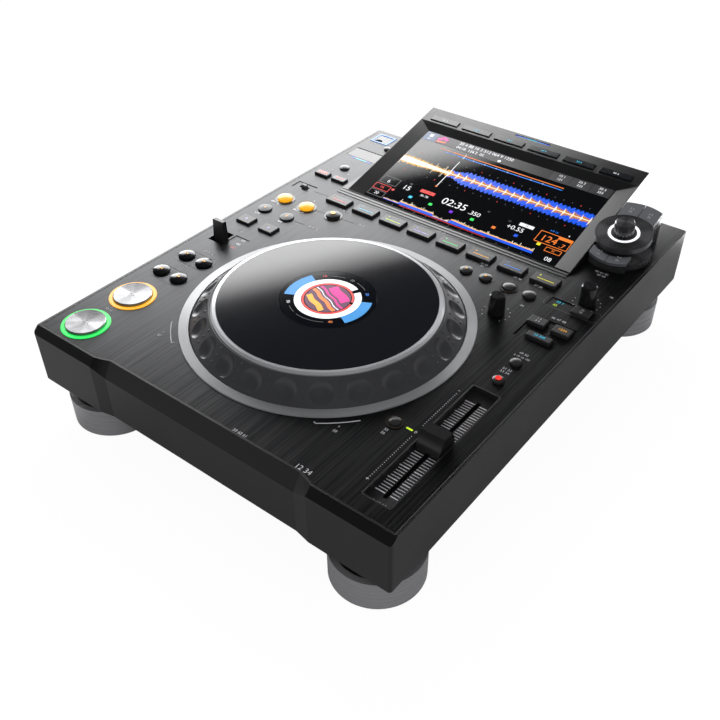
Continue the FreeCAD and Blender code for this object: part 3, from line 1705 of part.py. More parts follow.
def cut_screen_wells(body):
    gap = 2 * size.button_gap
    wells = tilted_sketch(body, Size.of(0))
    for x in screen_button_places():
        add_rectangle(wells, size.screen_button_width + gap, size.screen_button_length + gap,
                      x, size.screen_button_u)
    cut(body, wells, size.screen_button_well)
    bar = tilted_sketch(body, Size.of(0))
    add_rectangle(bar, size.light_bar_width, size.light_bar_length, 0, size.light_bar_u)
    cut(body, bar, size.light_bar_depth)


def make_screen_buttons():
    buttons = []
    rest = size.button_travel + 0.2
    for number, x in enumerate(screen_button_places(), start=1):
        at = on_screen(x, size.screen_button_u, -size.screen_button_well)
        body = new_body(f"screen_button_{number}", at, size.screen_tilt)
        cap = sketch_on(body, offset=(0, 0, rest))
        add_rectangle(cap, size.screen_button_width, size.screen_button_length)
        height = size.screen_button_well + size.screen_button_height
        block = pad(body, cap, height - rest)
        chamfer_edges(body, block, top_edges(block, height.value), 0.4)
        buttons.append(body)
    gather("screen_buttons", buttons)


def make_display_module():
    """Glass that rests on the bay's ledge, with the panel bonded behind it."""
    body = new_body("display_module", on_screen(size.glass_x, 0, -size.bay_depth), size.screen_tilt)
    middle = (size.glass_front + size.glass_back) / 2
    length = size.glass_back - size.glass_front
    glass = sketch_on(body)
    add_rectangle(glass, size.glass_width, length, 0, middle)
    pad(body, glass, size.glass_thickness, reverse=True)
    panel = sketch_on(body, offset=(0, 0, -size.glass_thickness))
    margin = 2 * (size.module_margin + 2 * size.glass_gap)
    add_rectangle(panel, size.glass_width - margin, length - margin, 0, middle)
    pad(body, panel, size.module_depth, reverse=True)
    keep(body)


# Selector pod

def dial_at(above=0):
    """A point on the dial's axis, in the player's frame."""
    tilt = size.selector_tilt
    above = Size.of(above)
    return (size.selector_x, size.selector_y - above * sine(tilt),
            deck + size.selector_height + above * cosine(tilt))


def pod_outline(front_radius, back_radius, half):
    """Plan of the pod: straight sides with a bowed front and back, about the dial's centre."""
    near = Size(-math.sqrt(front_radius.value ** 2 - half.value ** 2),
                f"(0 - sqrt({front_radius.formula} ^ 2 - {half.formula} ^ 2))")
    far = Size(math.sqrt(back_radius.value ** 2 - half.value ** 2),
               f"sqrt({back_radius.formula} ^ 2 - {half.formula} ^ 2)")
    points = [(-half, near), (half, near), (half, far), (-half, far)]
    return points, {0: (front_radius, -1), 2: (back_radius, -1)}


def make_selector_base():
    """Pod with a sloping top that carries the round dial plate."""
    body = new_body("selector_base", (size.selector_x, size.selector_y, deck))
    points, arcs = pod_outline(size.pod_front, size.pod_back, size.pod_half_width)
    foot = sketch_on(body)
    add_outline(foot, points, arcs)
    tall = Size.of(40.0)
    pad(body, foot, tall)
    slice_sketch = sketch_on(body, "YZ_Plane")
    slope = sine(size.pod_tilt) / cosine(size.pod_tilt)
    reach = Size.of(60.0)
    add_outline(slice_sketch, [
        (-reach, size.pod_height - reach * slope), (reach, size.pod_height + reach * slope),
        (reach, tall + reach), (-reach, tall + reach),
    ])
    cut(body, slice_sketch, reach * 2, middle=True)
    add_drum(body)

    offset_y, offset_z = dial_offset(-size.dial_thickness)
    plate = sketch_on(body, offset=(0, offset_y, offset_z), tilt=size.selector_tilt)
    add_circle(plate, size.dial_radius)
    pad(body, plate, size.dial_thickness)
    stem = sketch_on(body, offset=(0, offset_y, offset_z), tilt=size.selector_tilt)
    add_circle(stem, size.dial_stem_radius - 1.5)
    pad(body, stem, size.pod_height - 1, reverse=True)

    face_y, face_z = dial_offset(Size.of(0))
    groove = sketch_on(body, offset=(0, face_y, face_z), tilt=size.selector_tilt)
    add_circle(groove, size.selector_ring_outer)
    add_circle(groove, size.selector_ring_inner)
    cut(body, groove, size.selector_ring_depth)
    bore = sketch_on(body, offset=(0, face_y, face_z), tilt=size.selector_tilt)
    add_circle(bore, size.selector_shaft_radius + size.pin_gap)
    cut(body, bore, size.selector_shaft_length + 1)

    for x, y in pod_peg_places():
        peg_y, peg_z = pod_point(y, Size.of(0))
        hole = sketch_on(body, offset=(0, peg_y, peg_z), tilt=size.pod_tilt)
        add_rectangle(hole, size.pod_peg + 0.6, size.pod_peg + 0.6, x, 0)
        cut(body, hole, size.pod_peg_length)
    keep(body)


def add_drum(body):
    """Low round drum under the dial, cut off level with the pod's side where the screen stands."""
    drum = sketch_on(body)
    add_circle(drum, size.drum_radius)
    pad(body, drum, size.drum_height)
    spare = size.drum_radius - size.pod_half_width
    side = sketch_on(body)
    add_rectangle(side, spare, 2 * size.drum_radius, -size.pod_half_width - spare / 2, 0)
    cut(body, side, size.drum_height, reverse=True)


def dial_offset(above):
    """A point on the dial's axis, in the pod's own Y and Z."""
    tilt = size.selector_tilt
    above = Size.of(above)
    return (-above * sine(tilt), size.selector_height + above * cosine(tilt))


def pod_point(along, above):
    """A point of the pod's sloping top, in the pod's own Y and Z."""
    tilt = size.pod_tilt
    return (along * cosine(tilt) - above * sine(tilt),
            size.pod_height + along * sine(tilt) + above * cosine(tilt))


def pod_peg_places():
    reach = size.pod_half_width / 2
    return [(sign * reach, y) for y in (-(size.pod_front - 4), size.pod_back - 5)
            for sign in (-1, 1)]


def make_selector_buttons():
    """Four keys round the dial, each a sector between the dial and the pod's edge."""
    buttons = []
    for number, (x, y) in enumerate(pod_peg_places(), start=1):
        buttons.append(make_pod_key(f"selector_button_{number}", x, y))
    gather("selector_buttons", buttons)


def make_pod_key(name, x, y):
    at_y, at_z = pod_point(Size.of(0), Size.of(0))
    body = new_body(name, (size.selector_x, size.selector_y + at_y, deck + at_z), size.pod_tilt)
    ahead = y.value < 0
    edge = (size.pod_front if ahead else size.pod_back) * 1.03
    inner = size.dial_radius + size.pod_button_gap + (0 if ahead else size.pod_button_height)
    near_side = size.pod_button_gap / 2
    far_side = size.pod_half_width
    sign_x = 1 if x.value > 0 else -1
    sign_y = -1 if ahead else 1

    def corner(radius, side):
        reach = Size(math.sqrt(radius.value ** 2 - side.value ** 2),
                     f"sqrt({radius.formula} ^ 2 - {side.formula} ^ 2)")
        return (sign_x * side, sign_y * reach)

    points = [corner(inner, near_side), corner(inner, far_side), corner(edge, far_side),
              corner(edge, near_side)]
    turn = sign_x * sign_y
    cap = sketch_on(body, offset=(0, 0, size.pod_button_rest))
    add_outline(cap, points, {0: (inner, turn), 2: (edge, -turn)})
    pad(body, cap, size.pod_button_height)
    peg = sketch_on(body, offset=(0, 0, size.pod_button_rest))
    add_rectangle(peg, size.pod_peg, size.pod_peg, x, y)
    pad(body, peg, size.pod_button_rest + size.pod_peg_length - size.button_travel - 0.2, reverse=True)
    return body


def make_selector_shaft():
    """Shaft that is pressed to confirm a choice; the knob turns on its spindle."""
    body = new_body("selector_shaft", dial_at(), size.selector_tilt)
    length = size.selector_shaft_length - size.selector_travel
    top = size.selector_rest - 0.3
    revolve(body, [
        (0, -length), (size.selector_shaft_radius, -length), (size.selector_shaft_radius, top),
        (size.selector_spindle_radius, top), (size.selector_spindle_radius, top + size.selector_spindle_length),
        (0, top + size.selector_spindle_length),
    ])
    keep(body)


def make_selector_knob():
    """Fluted knob, bored for the spindle."""
    body = new_body("selector_knob", dial_at(), size.selector_tilt)
    radius = size.selector_knob_radius
    low = size.selector_rest
    high = low + size.selector_knob_height
    bore = size.selector_spindle_radius + size.pin_gap
    ceiling = low + size.selector_spindle_length
    revolve(body, [
        (bore, low), (radius, low), (radius, high - 1.2), (radius - 1.2, high), (0, high),
        (0, ceiling), (bore, ceiling),
    ])
    flute = sketch_on(body, offset=(0, 0, high))
    add_circle(flute, size.flute_radius, radius + size.flute_radius / 3, 0)
    groove = cut(body, flute, size.selector_knob_height)
    ring = body.newObject("PartDesign::PolarPattern", "flutes")
    ring.Originals = [groove]
    ring.Axis = (plane_of(body, "Z_Axis"), [""])
    ring.Angle = 360
    ring.setExpression("Occurrences", size.flute_count.formula)
    body.Tip = ring
    doc.recompute()
    keep(body)


# Rear sockets and switch

def make_socket(name, x, width, height, depth):
    """Block through the rear wall with a flange that lies on the wall's outer face."""
    body = new_body(name, (x, back, size.socket_height))
    block = sketch_on(body, "XZ_Plane", (0, 0, 0))
    add_rectangle(block, width, height)
    pad(body, block, depth)
    flange = sketch_on(body, "XZ_Plane", (0, 0, -size.flange_proud))
    border = 2 * size.flange_border
    add_rectangle(flange, width + border, height + border)
    pad(body, flange, size.flange_proud)
    return body


def cut_mouth(body, width, height, depth):
    mouth = sketch_on(body, "XZ_Plane", (0, 0, -size.flange_proud))
    add_rectangle(mouth, width, height)
    cut(body, mouth, depth + size.flange_proud, reverse=True)


def make_rear_sockets():
    inlet = make_socket("mains_inlet", size.inlet_x, size.inlet_width, size.inlet_height,
                        size.inlet_depth)
    wall = 2 * size.inlet_wall
    cut_mouth(inlet, size.inlet_width - wall, size.inlet_height - wall, size.inlet_cavity)
    pins = sketch_on(inlet, "XZ_Plane", (0, 0, size.inlet_cavity))
    for x, z in ((-size.inlet_pin_pitch, 1.5), (size.inlet_pin_pitch, 1.5), (Size.of(0), 4.0)):
        add_rectangle(pins, size.inlet_pin_width, size.inlet_pin_height, x, z)
    pad(inlet, pins, size.inlet_cavity - 3, reverse=True)

    lan = make_socket("network_socket", size.lan_x, size.lan_width, size.lan_height, size.lan_depth)
    cut_mouth(lan, size.lan_mouth_width, size.lan_mouth_height, size.lan_mouth_depth)

    data = make_socket("data_socket", size.data_x, size.data_width, size.data_height,
                       size.data_depth)
    cut_mouth(data, size.data_mouth_width, size.data_mouth_height, size.data_mouth_depth)
    post = sketch_on(data, "XZ_Plane", (0, 0, size.data_mouth_depth))
    add_rectangle(post, size.data_post_width, size.data_post_height)
    pad(data, post, size.data_mouth_depth - 1, reverse=True)

    phonos = [make_phono(number, x) for number, x in enumerate(phono_places(), start=1)]
    gather("rear_sockets", [inlet, lan, data, *phonos])


def make_phono(number, x):
    """Round audio socket: a sleeve round a centre hole, on a wider base inside the wall."""
    body = new_body(f"phono_socket_{number}", (x, back, size.socket_height))
    base = sketch_on(body, "XZ_Plane", (0, 0, size.side_wall))
    add_circle(base, size.phono_base)
    pad(body, base, size.phono_depth - size.side_wall)
    sleeve = sketch_on(body, "XZ_Plane", (0, 0, -size.phono_length))
    add_circle(sleeve, size.phono_radius)
    pad(body, sleeve, size.phono_length + size.side_wall)
    hole = sketch_on(body, "XZ_Plane", (0, 0, -size.phono_length))
    add_circle(hole, size.phono_hole)
    cut(body, hole, size.phono_length, reverse=True)
    return body


def make_power_switch():
    """Rocker that tips about pins in the rear wall."""
    body = new_body("power_switch", (size.switch_x, back - size.side_wall / 2, size.socket_height))
    half = size.switch_height / 2 - 1.0
    deep = Size.of(3.0)
    profile = sketch_on(body, "YZ_Plane")
    add_outline(profile, [
        (-deep, -half * 0.6), (size.switch_low_reach, -half), (size.switch_low_reach + 1.2, 0),
        (size.switch_tilt_reach, half), (-deep, half * 0.6),
    ])
    pad(body, profile, size.switch_width - 2 * size.socket_gap, middle=True)
    pin = sketch_on(body, "YZ_Plane")
    add_circle(pin, size.switch_pin_radius)
    pad(body, pin, size.switch_width + 2 * size.switch_pin_length - 1, middle=True)
    keep(body)


# Boards

def make_board(name, x, y, width, length, blocks):
    """Circuit board on four standoffs, with its tall parts as (width, length, height, x, y)."""
    body = new_body(name, (x, y, floor_top))
    plate = sketch_on(body, offset=(0, 0, size.standoff_height))
    add_rectangle(plate, width, length)
    pad(body, plate, size.board_thickness)
    legs = sketch_on(body)
    for sign_x in (-1, 1):
        for sign_y in (-1, 1):
            add_circle(legs, size.standoff_radius, sign_x * (width / 2 - 6), sign_y * (length / 2 - 6))
    pad(body, legs, size.standoff_height)
    for block_width, block_length, height, at_x, at_y in blocks:
        block = sketch_on(body, offset=(0, 0, size.standoff_height + size.board_thickness))
        add_rectangle(block, block_width, block_length, at_x, at_y)
        pad(body, block, height)
    keep(body)


def make_boards():
    chip, tall = size.chip_height, size.transformer_height
    make_board("main_board", size.board_x, size.board_y, size.board_width, size.board_length, [
        (28, 28, chip, -20, 10), (18, 18, chip, 22, 12), (16, 24, chip, 52, 14),
        (14, 14, chip, -58, -20), (40, 8, 2 * chip, 10, -46),
    ])
    make_board("power_supply", size.supply_x, size.supply_y, size.supply_width, size.supply_length, [
        (34, 30, tall, -12, 18), (16, 40, tall * 0.8, 26, -20), (18, 18, tall, -22, -34),
        (22, 14, tall / 2, 2, -52),
    ])


def check_document():
    """Stop if any object failed or any sub-part has no sound shape."""
    doc.recompute()
    for thing in doc.Objects:
        if "Invalid" in thing.State or "Error" in thing.State:
            raise RuntimeError(f"{thing.Label} failed: {thing.State}")
    for node in nodes:
        if node.Shape.isNull() or not node.Shape.isValid() or not node.Shape.Solids:
            raise RuntimeError(f"{node.Label} has no sound solid")


def write_parts():
    os.makedirs("parts", exist_ok=True)
    for node in nodes:
        node.Shape.exportStep(f"parts/{node.Label}.step")


def main():
    fill_sheet()
    make_bottom_plate()
    make_screws()
    make_cabinet()
    make_top_panel()
    make_feet()
    make_jog_ring()
    make_jog_base()
    make_jog_rim()
    make_jog_trim()
    make_jog_display()
    make_transport()
    make_light_rings()
    make_bezels()
    make_loop_buttons()
    make_keys()
    make_memory_and_tempo_buttons()
    make_lever()
    make_lock_switch()
    make_knob("jog_adjust_knob", size.adjust_x, size.adjust_y)
    make_knob("speed_knob", size.speed_x, size.speed_y)
    make_tempo_slider()
    make_card_door()
    make_card_reader()
    make_usb_port()
    make_screen_housing()
    make_screen_buttons()
    make_display_module()
    make_selector_base()
    make_selector_buttons()
    make_selector_shaft()
    make_selector_knob()
    make_rear_sockets()
    make_power_switch()
    make_boards()
    check_document()
    write_parts()
    print(len(nodes), "sub-parts")


main()
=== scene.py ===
"""Looks of the tabletop media player: finishes, lit marks, screen picture and studio."""

import json
import math

import bpy
import numpy as np
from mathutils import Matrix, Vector
from mathutils.bvhtree import BVHTree

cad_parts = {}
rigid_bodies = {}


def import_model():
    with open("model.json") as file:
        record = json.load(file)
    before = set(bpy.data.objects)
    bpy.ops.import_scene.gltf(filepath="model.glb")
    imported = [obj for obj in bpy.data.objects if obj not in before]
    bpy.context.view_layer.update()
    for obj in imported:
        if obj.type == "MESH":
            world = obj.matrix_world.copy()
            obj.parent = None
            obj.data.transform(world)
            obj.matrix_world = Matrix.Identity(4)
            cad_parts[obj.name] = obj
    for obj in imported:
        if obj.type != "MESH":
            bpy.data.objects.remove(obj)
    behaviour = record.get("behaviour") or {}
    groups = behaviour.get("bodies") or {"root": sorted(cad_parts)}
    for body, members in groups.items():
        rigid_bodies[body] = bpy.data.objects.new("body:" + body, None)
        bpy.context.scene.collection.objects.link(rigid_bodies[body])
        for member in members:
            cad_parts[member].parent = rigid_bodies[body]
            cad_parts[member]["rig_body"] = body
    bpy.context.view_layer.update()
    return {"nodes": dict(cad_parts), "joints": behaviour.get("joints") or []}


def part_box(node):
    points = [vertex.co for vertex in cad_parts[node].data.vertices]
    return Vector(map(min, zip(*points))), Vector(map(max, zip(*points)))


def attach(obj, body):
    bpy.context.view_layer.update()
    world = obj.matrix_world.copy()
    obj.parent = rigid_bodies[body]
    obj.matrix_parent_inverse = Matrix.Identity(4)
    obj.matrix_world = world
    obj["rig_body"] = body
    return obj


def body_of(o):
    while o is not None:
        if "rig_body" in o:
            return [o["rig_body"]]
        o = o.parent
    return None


bl_info = {
    "name": "Media Player Looks",
    "version": (1, 0, 0),
    "blender": (4, 5, 0),
    "location": "View3D > Sidebar > Player",
    "description": "Finishes, lit marks, screen picture and studio for the tabletop media player",
    "category": "Object",
}

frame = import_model()

MM = 0.001
UP = np.array((0.0, 0.0, 1.0))
PRINT_LIFT = 0.06
OVER_LIFT = 0.12
DIMPLES = 24
DIMPLE_TURN = 6.9
NUB_RADII = (90.0, 94.2, 98.2)
SCREEN_TINTS = ("white", "cyan", "cyan", "cyan", "cyan", "white")
CUE_TINTS = ("red", "cyan", "lime", "lilac", "green", "amber", "blue", "yellow")

# Round display: tint, text and angle of each number; tint, offset and width of each band

ROUND_NUMBERS = (
    ("red", "10", 134.0),
    ("dim", "20", 90.0),
    ("blue", "30", 47.0),
    ("orange", "40", -47.0),
    ("white", "50", -135.0),
)
PICTURE_BANDS = (
    ("magenta", 9.5, 7.5),
    ("magenta", 3.2, 1.6),
    ("orange", -3.4, 3.0),
    ("amber", -10.5, 4.4),
    ("white", -0.2, 0.8),
)

# Places in the plan, in millimetres

JOG_Y = -83.0
TRANSPORT_ROWS = (-199.0, -154.0)
PAIR_ROWS = (-116.6, -88.9)
PAIR_COLUMNS = ((-145.4, 180.0), (-126.0, 0.0))
PAIR_MIDDLE = -135.7
KNOBS = ((96.6, -2.6), (145.2, 49.6))
KNOB_SCALE = 10.6
TRAY_MIDDLE = (138.5, -145.0)
SLIDER_SCALE_X = 123.7
# x of the two painted highlights along the deck's side edges
EDGE_HIGHLIGHT_X = 162.4

# Deck print: text, x, y and size of each number; x, y and length of each pill; the ends of each line

DECK_NUMBERS = (
    ("10 11", -137.5, -177.1, 3.4), ("12 13", -137.0, -101.0, 3.2), ("14 15 16", -135.0, -74.7, 3.2),
    ("17 18", -137.9, -33.5, 3.2), ("20 21 22", -91.8, 7.5, 3.0), ("23 24", -61.4, 35.7, 3.0),
    ("25 26 27", -90.0, 46.9, 3.0), ("28", -148.0, 42.0, 3.0), ("29", -121.0, 43.0, 3.0),
    ("30 31", 0.0, 68.6, 3.2), ("32 33", 54.5, 48.6, 3.0), ("34", 54.5, 45.0, 3.0),
    ("35 36", 86.2, 47.2, 3.2), ("37 38", 104.6, 47.2, 3.2), ("39", 107.6, 17.0, 3.0),
    ("40 41 42", 135.6, 94.6, 3.2), ("43 44", 137.0, 90.6, 3.2), ("45", 157.0, 68.0, 3.0),
    ("46 47 48", 138.5, 17.6, 3.4), ("49 50", 138.4, -33.6, 3.2), ("6 10 16 100", 139.0, -37.6, 2.6),
    ("51 52", 137.8, -55.4, 3.2), ("53 54", 137.8, -59.0, 3.2), ("55", 107.1, -154.6, 3.2),
    ("56", 107.1, -158.2, 3.2), ("57", -83.1, -175.6, 3.2), ("58", 81.8, -175.6, 3.2),
    ("\u2212", -83.8, -170.9, 3.6), ("+", 81.4, -170.9, 3.6), ("\u2212", 123.5, -94.6, 4.0),
    ("+", 123.5, -195.8, 4.6), ("0", 123.6, -145.2, 3.4), ("59 60 61", 35.0, -214.0, 3.4),
    ("12 34", 88.0, -213.6, 5.6), ("61", -139.0, 122.0, 2.6), ("62", -147.5, 101.5, 2.6),
    ("63", -128.0, 101.5, 2.6), ("64", -148.0, 170.5, 2.6),
)
DECK_PILLS = ((-147.4, 21.6, 11.0), (-121.3, 22.0, 12.4), (-147.8, -2.2, 5.0), (-122.0, -1.5, 5.0))
DECK_LINES = (
    ((-114.0, 6.8), (-102.0, 7.4)), ((-122.6, 30.7), (-99.4, 33.2)), ((-82.0, 34.0), (-69.0, 35.4)),
    ((-134.0, 57.8), (-114.0, 58.6)), ((71.0, 32.0), (80.0, 32.0)), ((94.4, 32.0), (99.0, 32.0)),
    ((-60.0, 67.2), (-8.0, 68.2)), ((8.0, 68.2), (114.0, 69.4)),
)

# Screen picture, in millimetres from the middle of the glass

HEAD_Y = 46.9
SLEEVE_X = -77.6
WAVE_Y = 8.3
BEAT = 8.3
PLAY_X = -44.8
PLAY_EDGE = -44.6
BAR = 0.42
OVERVIEW_Y = -48.6
MARKER_TINTS = ("cyan", "green", "violet", "green", "orange", "royal", "yellow")
SCREEN_EDGES = (
    ("dim", 17.8, 9.6, -87.1, -25.3),
    ("red", 16.4, 7.2, -89.0, -36.0),
    ("dim", 16.4, 7.2, -89.0, -44.8),
    ("orange", 29.6, 13.4, 82.2, -26.6, 0.6),
    ("orange", 14.0, 4.8, 88.0, -38.0, 0.5, 0.3),
)
SCREEN_BOXES = (
    ("red", 2.6, 2.6, -77.6, -34.6, PRINT_LIFT, 1.0),
    ("red", 15.0, 4.0, -46.8, -23.4, PRINT_LIFT, 0.4),
    ("white", 13.6, 3.8, 53.7, -21.2, PRINT_LIFT, 0.2),
    ("orange", 12.4, 3.0, 90.6, -21.6, 0.1, 0.2),
)
SCREEN_TEXTS = (
    ("white", "6", 6.0, -88.0, -26.4), ("dim", "12", 2.8, -85.4, -22.2), ("red", "16", 4.6, -89.0, -36.0),
    ("white", "20", 4.6, -89.0, -44.8), ("white", "15", 8.4, -67.7, -26.8),
    ("dim", "00", 2.8, -67.0, -20.4), ("black", "12 34", 3.4, -46.8, -23.4, 0.14),
    ("white", "56 78", 3.6, -46.8, -29.2), ("white", "02:35", 11.6, -16.4, -26.2),
    ("white", ".350", 6.8, 6.0, -28.6), ("dim", "01", 2.8, 16.0, -20.4),
    ("white", "+0.55", 7.2, 46.6, -28.4), ("dim", "02", 2.8, 38.0, -22.4),
    ("black", "16", 3.4, 53.7, -21.2, 0.14), ("orange", "124", 10.4, 78.4, -27.6),
    ("orange", ".7", 6.6, 91.6, -29.6), ("blue", "4 8 16", 3.0, 77.4, -16.6),
    ("white", "4", 3.0, 91.0, -16.2), ("orange", "32", 3.2, 88.0, -38.0), ("white", "08", 6.4, 89.0, -48.4),
)

# Lamp above the keys: tint, x and length of each part, and its place up the slope

LAMP_PARTS = (
    ("royal", -11.3, 6.0),
    ("blue", -4.8, 7.0),
    ("cyan", 3.2, 9.0),
    ("blue", 11.2, 7.0),
    ("royal", 17.7, 6.0),
)
SLOPE_FOOT_Y = 77.3
LAMP_UP_SLOPE = 136.6

# Reflector card, in metres: its upper edge has the height CARD_TOP - CARD_SLOPE x

CARD_Y = 0.3
CARD_TOP = 0.218
CARD_SLOPE = 0.612


# Shader expressions


class Shade:
    """One output of a material's nodes. A sum, difference, product or quotient adds a Math node."""

    def __init__(self, paint, node, output=0):
        self.paint = paint
        self.node = node
        self.output = output

    @property
    def socket(self):
        return self.node.outputs[self.output]

    def take(self, output):
        """The same node's output of that name."""
        return Shade(self.paint, self.node, output)

    def maths(self, operation, *values):
        return self.paint.node("ShaderNodeMath", {"operation": operation}, values)

    def __add__(self, other):
        return self.maths("ADD", self, other)

    def __sub__(self, other):
        return self.maths("SUBTRACT", self, other)

    def __rsub__(self, other):
        return self.maths("SUBTRACT", other, self)

    def __mul__(self, other):
        return self.maths("MULTIPLY", self, other)

    def __truediv__(self, other):
        return self.maths("DIVIDE", self, other)

    __radd__ = __add__
    __rmul__ = __mul__

    def sine(self):
        return self.maths("SINE", self)

    def at_most(self, limit):
        return self.maths("MINIMUM", self, limit)

    def clamped(self):
        return self.maths("MAXIMUM", self, 0.0).at_most(1.0)


class Paint:
    """A material and the one method that adds nodes to it."""

    def __init__(self, name, tree=None):
        self.material = None
        if tree is None:
            self.material = bpy.data.materials.new(name)
            self.material.use_nodes = True
            tree = self.material.node_tree
        self.tree = tree
        self.tree.nodes.clear()

    def node(self, kind, settings=None, inputs=()):
        """A node of that kind: its settings first, then the values or links of its sockets."""
        made = self.tree.nodes.new(kind)
        for name, value in (settings or {}).items():
            setattr(made, name, value)
        pairs = inputs.items() if isinstance(inputs, dict) else enumerate(inputs)
        for name, value in pairs:
            if isinstance(value, Shade):
                self.tree.links.new(value.socket, made.inputs[name])
            else:
                made.inputs[name].default_value = value
        return Shade(self, made)

    def place(self):
        """Object coordinates, in metres."""
        return self.node("ShaderNodeTexCoord").take("Object")

    def stretched(self, scale):
        """Object coordinates times a scale for each axis."""
        settings = {"operation": "MULTIPLY"}
        return self.node("ShaderNodeVectorMath", settings, (self.place(), scale))

    def noise(self, place, scale=1.0, detail=2.0):
        inputs = {"Vector": place, "Scale": scale, "Detail": detail}
        return self.node("ShaderNodeTexNoise", None, inputs).take("Fac")

    def mixed(self, share, first, second):
        """First colour where the share is 0, second where it is 1."""
        settings = {"data_type": "RGBA"}
        inputs = {"Factor": share, 6: first, 7: second}
        return self.node("ShaderNodeMix", settings, inputs).take(2)

    def bump(self, height, distance, strength=1.0):
        inputs = {"Height": height, "Distance": distance, "Strength": strength}
        return self.node("ShaderNodeBump", None, inputs)

    def surface(self, **inputs):
        """The principled surface, whose socket names are given with _ for a space."""
        named = {name.replace("_", " "): value for name, value in inputs.items()}
        if "IOR Level" in named:
            named["Specular IOR Level"] = named.pop("IOR Level")
        return self.finish(self.node("ShaderNodeBsdfPrincipled", None, named))

    def finish(self, shader):
        self.node("ShaderNodeOutputMaterial", None, {"Surface": shader})
        return self.material


def opaque(colour):
    """A colour with its alpha, from three numbers."""
    return (*tuple(colour)[:3], 1.0)


def darker(colour, share):
    return opaque(channel * share for channel in tuple(colour)[:3])


# Finishes


def brushed_deck(name, colour, roughness=0.34):
    """Anodised sheet brushed from front to back: long fine streaks in colour, roughness and height."""
    paint = Paint(name)
    fine = paint.noise(paint.stretched((2600.0, 26.0, 400.0)), detail=3.0)
    broad = paint.noise(paint.stretched((620.0, 7.0, 120.0)), detail=2.0)
    streak = fine * 0.55 + broad * 0.45
    shade = paint.mixed(((streak - 0.5) * 3.2 + 0.5).clamped(), darker(colour, 0.45), darker(colour, 1.75))
    return paint.surface(
        Base_Color=shade,
        Metallic=0.85,
        Roughness=roughness + (streak - 0.5) * 0.3,
        Normal=paint.bump(streak, 0.00004, 0.7),
    )


def painted_metal(name, colour, roughness=0.42):
    """Satin paint: a very fine orange-peel and faint clouding of its shine."""
    paint = Paint(name)
    peel = paint.noise(paint.place(), 1400.0, 2.0)
    cloud = paint.noise(paint.place(), 18.0, 3.0)
    return paint.surface(
        Base_Color=paint.mixed(cloud, darker(colour, 0.85), darker(colour, 1.15)),
        Roughness=roughness + (cloud - 0.5) * 0.12,
        Normal=paint.bump(peel, 0.00003, 0.5),
    )


def moulded_plastic(name, colour, roughness=0.45, grain=0.00005, shine=0.5):
    """Moulded plastic: a fine spark-eroded grain, slightly uneven in shine."""
    paint = Paint(name)
    grain_noise = paint.noise(paint.place(), 2600.0, 3.0)
    cloud = paint.noise(paint.place(), 40.0, 3.0)
    return paint.surface(
        Base_Color=paint.mixed(cloud, darker(colour, 0.88), darker(colour, 1.12)),
        Roughness=roughness + (cloud - 0.5) * 0.1,
        IOR_Level=shine,
        Normal=paint.bump(grain_noise, grain, 0.5),
    )


def gloss_plastic(name, colour, roughness=0.07, shine=0.5):
    """Polished plastic: nearly smooth, with a trace of haze and moulding waves."""
    paint = Paint(name)
    wave = paint.noise(paint.place(), 60.0, 2.0)
    haze = paint.noise(paint.place(), 500.0, 3.0)
    return paint.surface(
        Base_Color=paint.mixed(haze, darker(colour, 0.9), darker(colour, 1.1)),
        Roughness=roughness + haze * 0.04,
        IOR_Level=shine,
        Normal=paint.bump(wave, 0.00004, 0.3),
    )


def turned_metal(
    name, colour, centre, axis=UP, roughness=0.25, groove=0.000012, pitch=0.00035, metallic=0.6, painted_sheen=0.0
):
    """Metal turned on a lathe: fine rings round an axis, with a painted fan of highlight and shade wedges.

    A ring's height is a noise of the distance from the axis; the painted fan of highlight and shade, which
    stands in for the reflections of turned metal, is two sines of the angle round it.
    """
    paint = Paint(name)
    subtract = {"operation": "SUBTRACT"}
    arm = paint.node("ShaderNodeVectorMath", subtract, (paint.place(), tuple(centre)))
    crossed = paint.node("ShaderNodeVectorMath", {"operation": "CROSS_PRODUCT"}, (arm, tuple(axis)))
    distance = paint.node("ShaderNodeVectorMath", {"operation": "LENGTH"}, (crossed,)).take("Value")
    settings = {"noise_dimensions": "1D"}
    ring = paint.node("ShaderNodeTexNoise", settings, {"W": distance / pitch, "Detail": 2.0})
    height = ring.take("Fac")
    arms = paint.node("ShaderNodeSeparateXYZ", None, (arm,))
    angle = arms.maths("ARCTAN2", arms.take("Y"), arms.take("X"))
    # Painted highlight and shade: lighter and darker wedges in the base colour, in place of turned metal's
    # reflections.
    sheen_wedge = ((angle * 2.0 + 0.9).sine() * 0.5 + (angle * 6.0).sine() * 0.22 + 0.5).clamped()
    shade = (sheen_wedge * sheen_wedge - 0.35) * painted_sheen + (height - 0.5) * 0.5 + 0.5
    return paint.surface(
        Base_Color=paint.mixed(shade.clamped(), darker(colour, 0.35), darker(colour, 1.65)),
        Metallic=metallic,
        Roughness=roughness + (height - 0.5) * 0.12,
        Normal=paint.bump(height, groove, 1.0),
    )


def lit_plastic(name, colour, strength=1.0, roughness=0.3):
    """Clear plastic lit from behind: a glow that is slightly cloudy, under a soft shine."""
    paint = Paint(name)
    cloud = paint.noise(paint.place(), 90.0, 2.0)
    glow = paint.mixed(cloud, darker(colour, 0.85), darker(colour, 1.1))
    return paint.surface(
        Base_Color=darker(colour, 0.35),
        Roughness=roughness,
        Emission_Color=glow,
        Emission_Strength=strength,
        Normal=paint.bump(cloud, 0.00002, 0.3),
    )


def printed_ink(name, colour, roughness=0.5):
    """Screen-printed ink with a faint mottle."""
    paint = Paint(name)
    mottle = paint.noise(paint.place(), 900.0, 2.0)
    return paint.surface(
        Base_Color=paint.mixed(mottle, darker(colour, 0.86), darker(colour, 1.08)),
        Roughness=roughness + (mottle - 0.5) * 0.1,
    )


# Shapes: arrays of points and faces, in millimetres


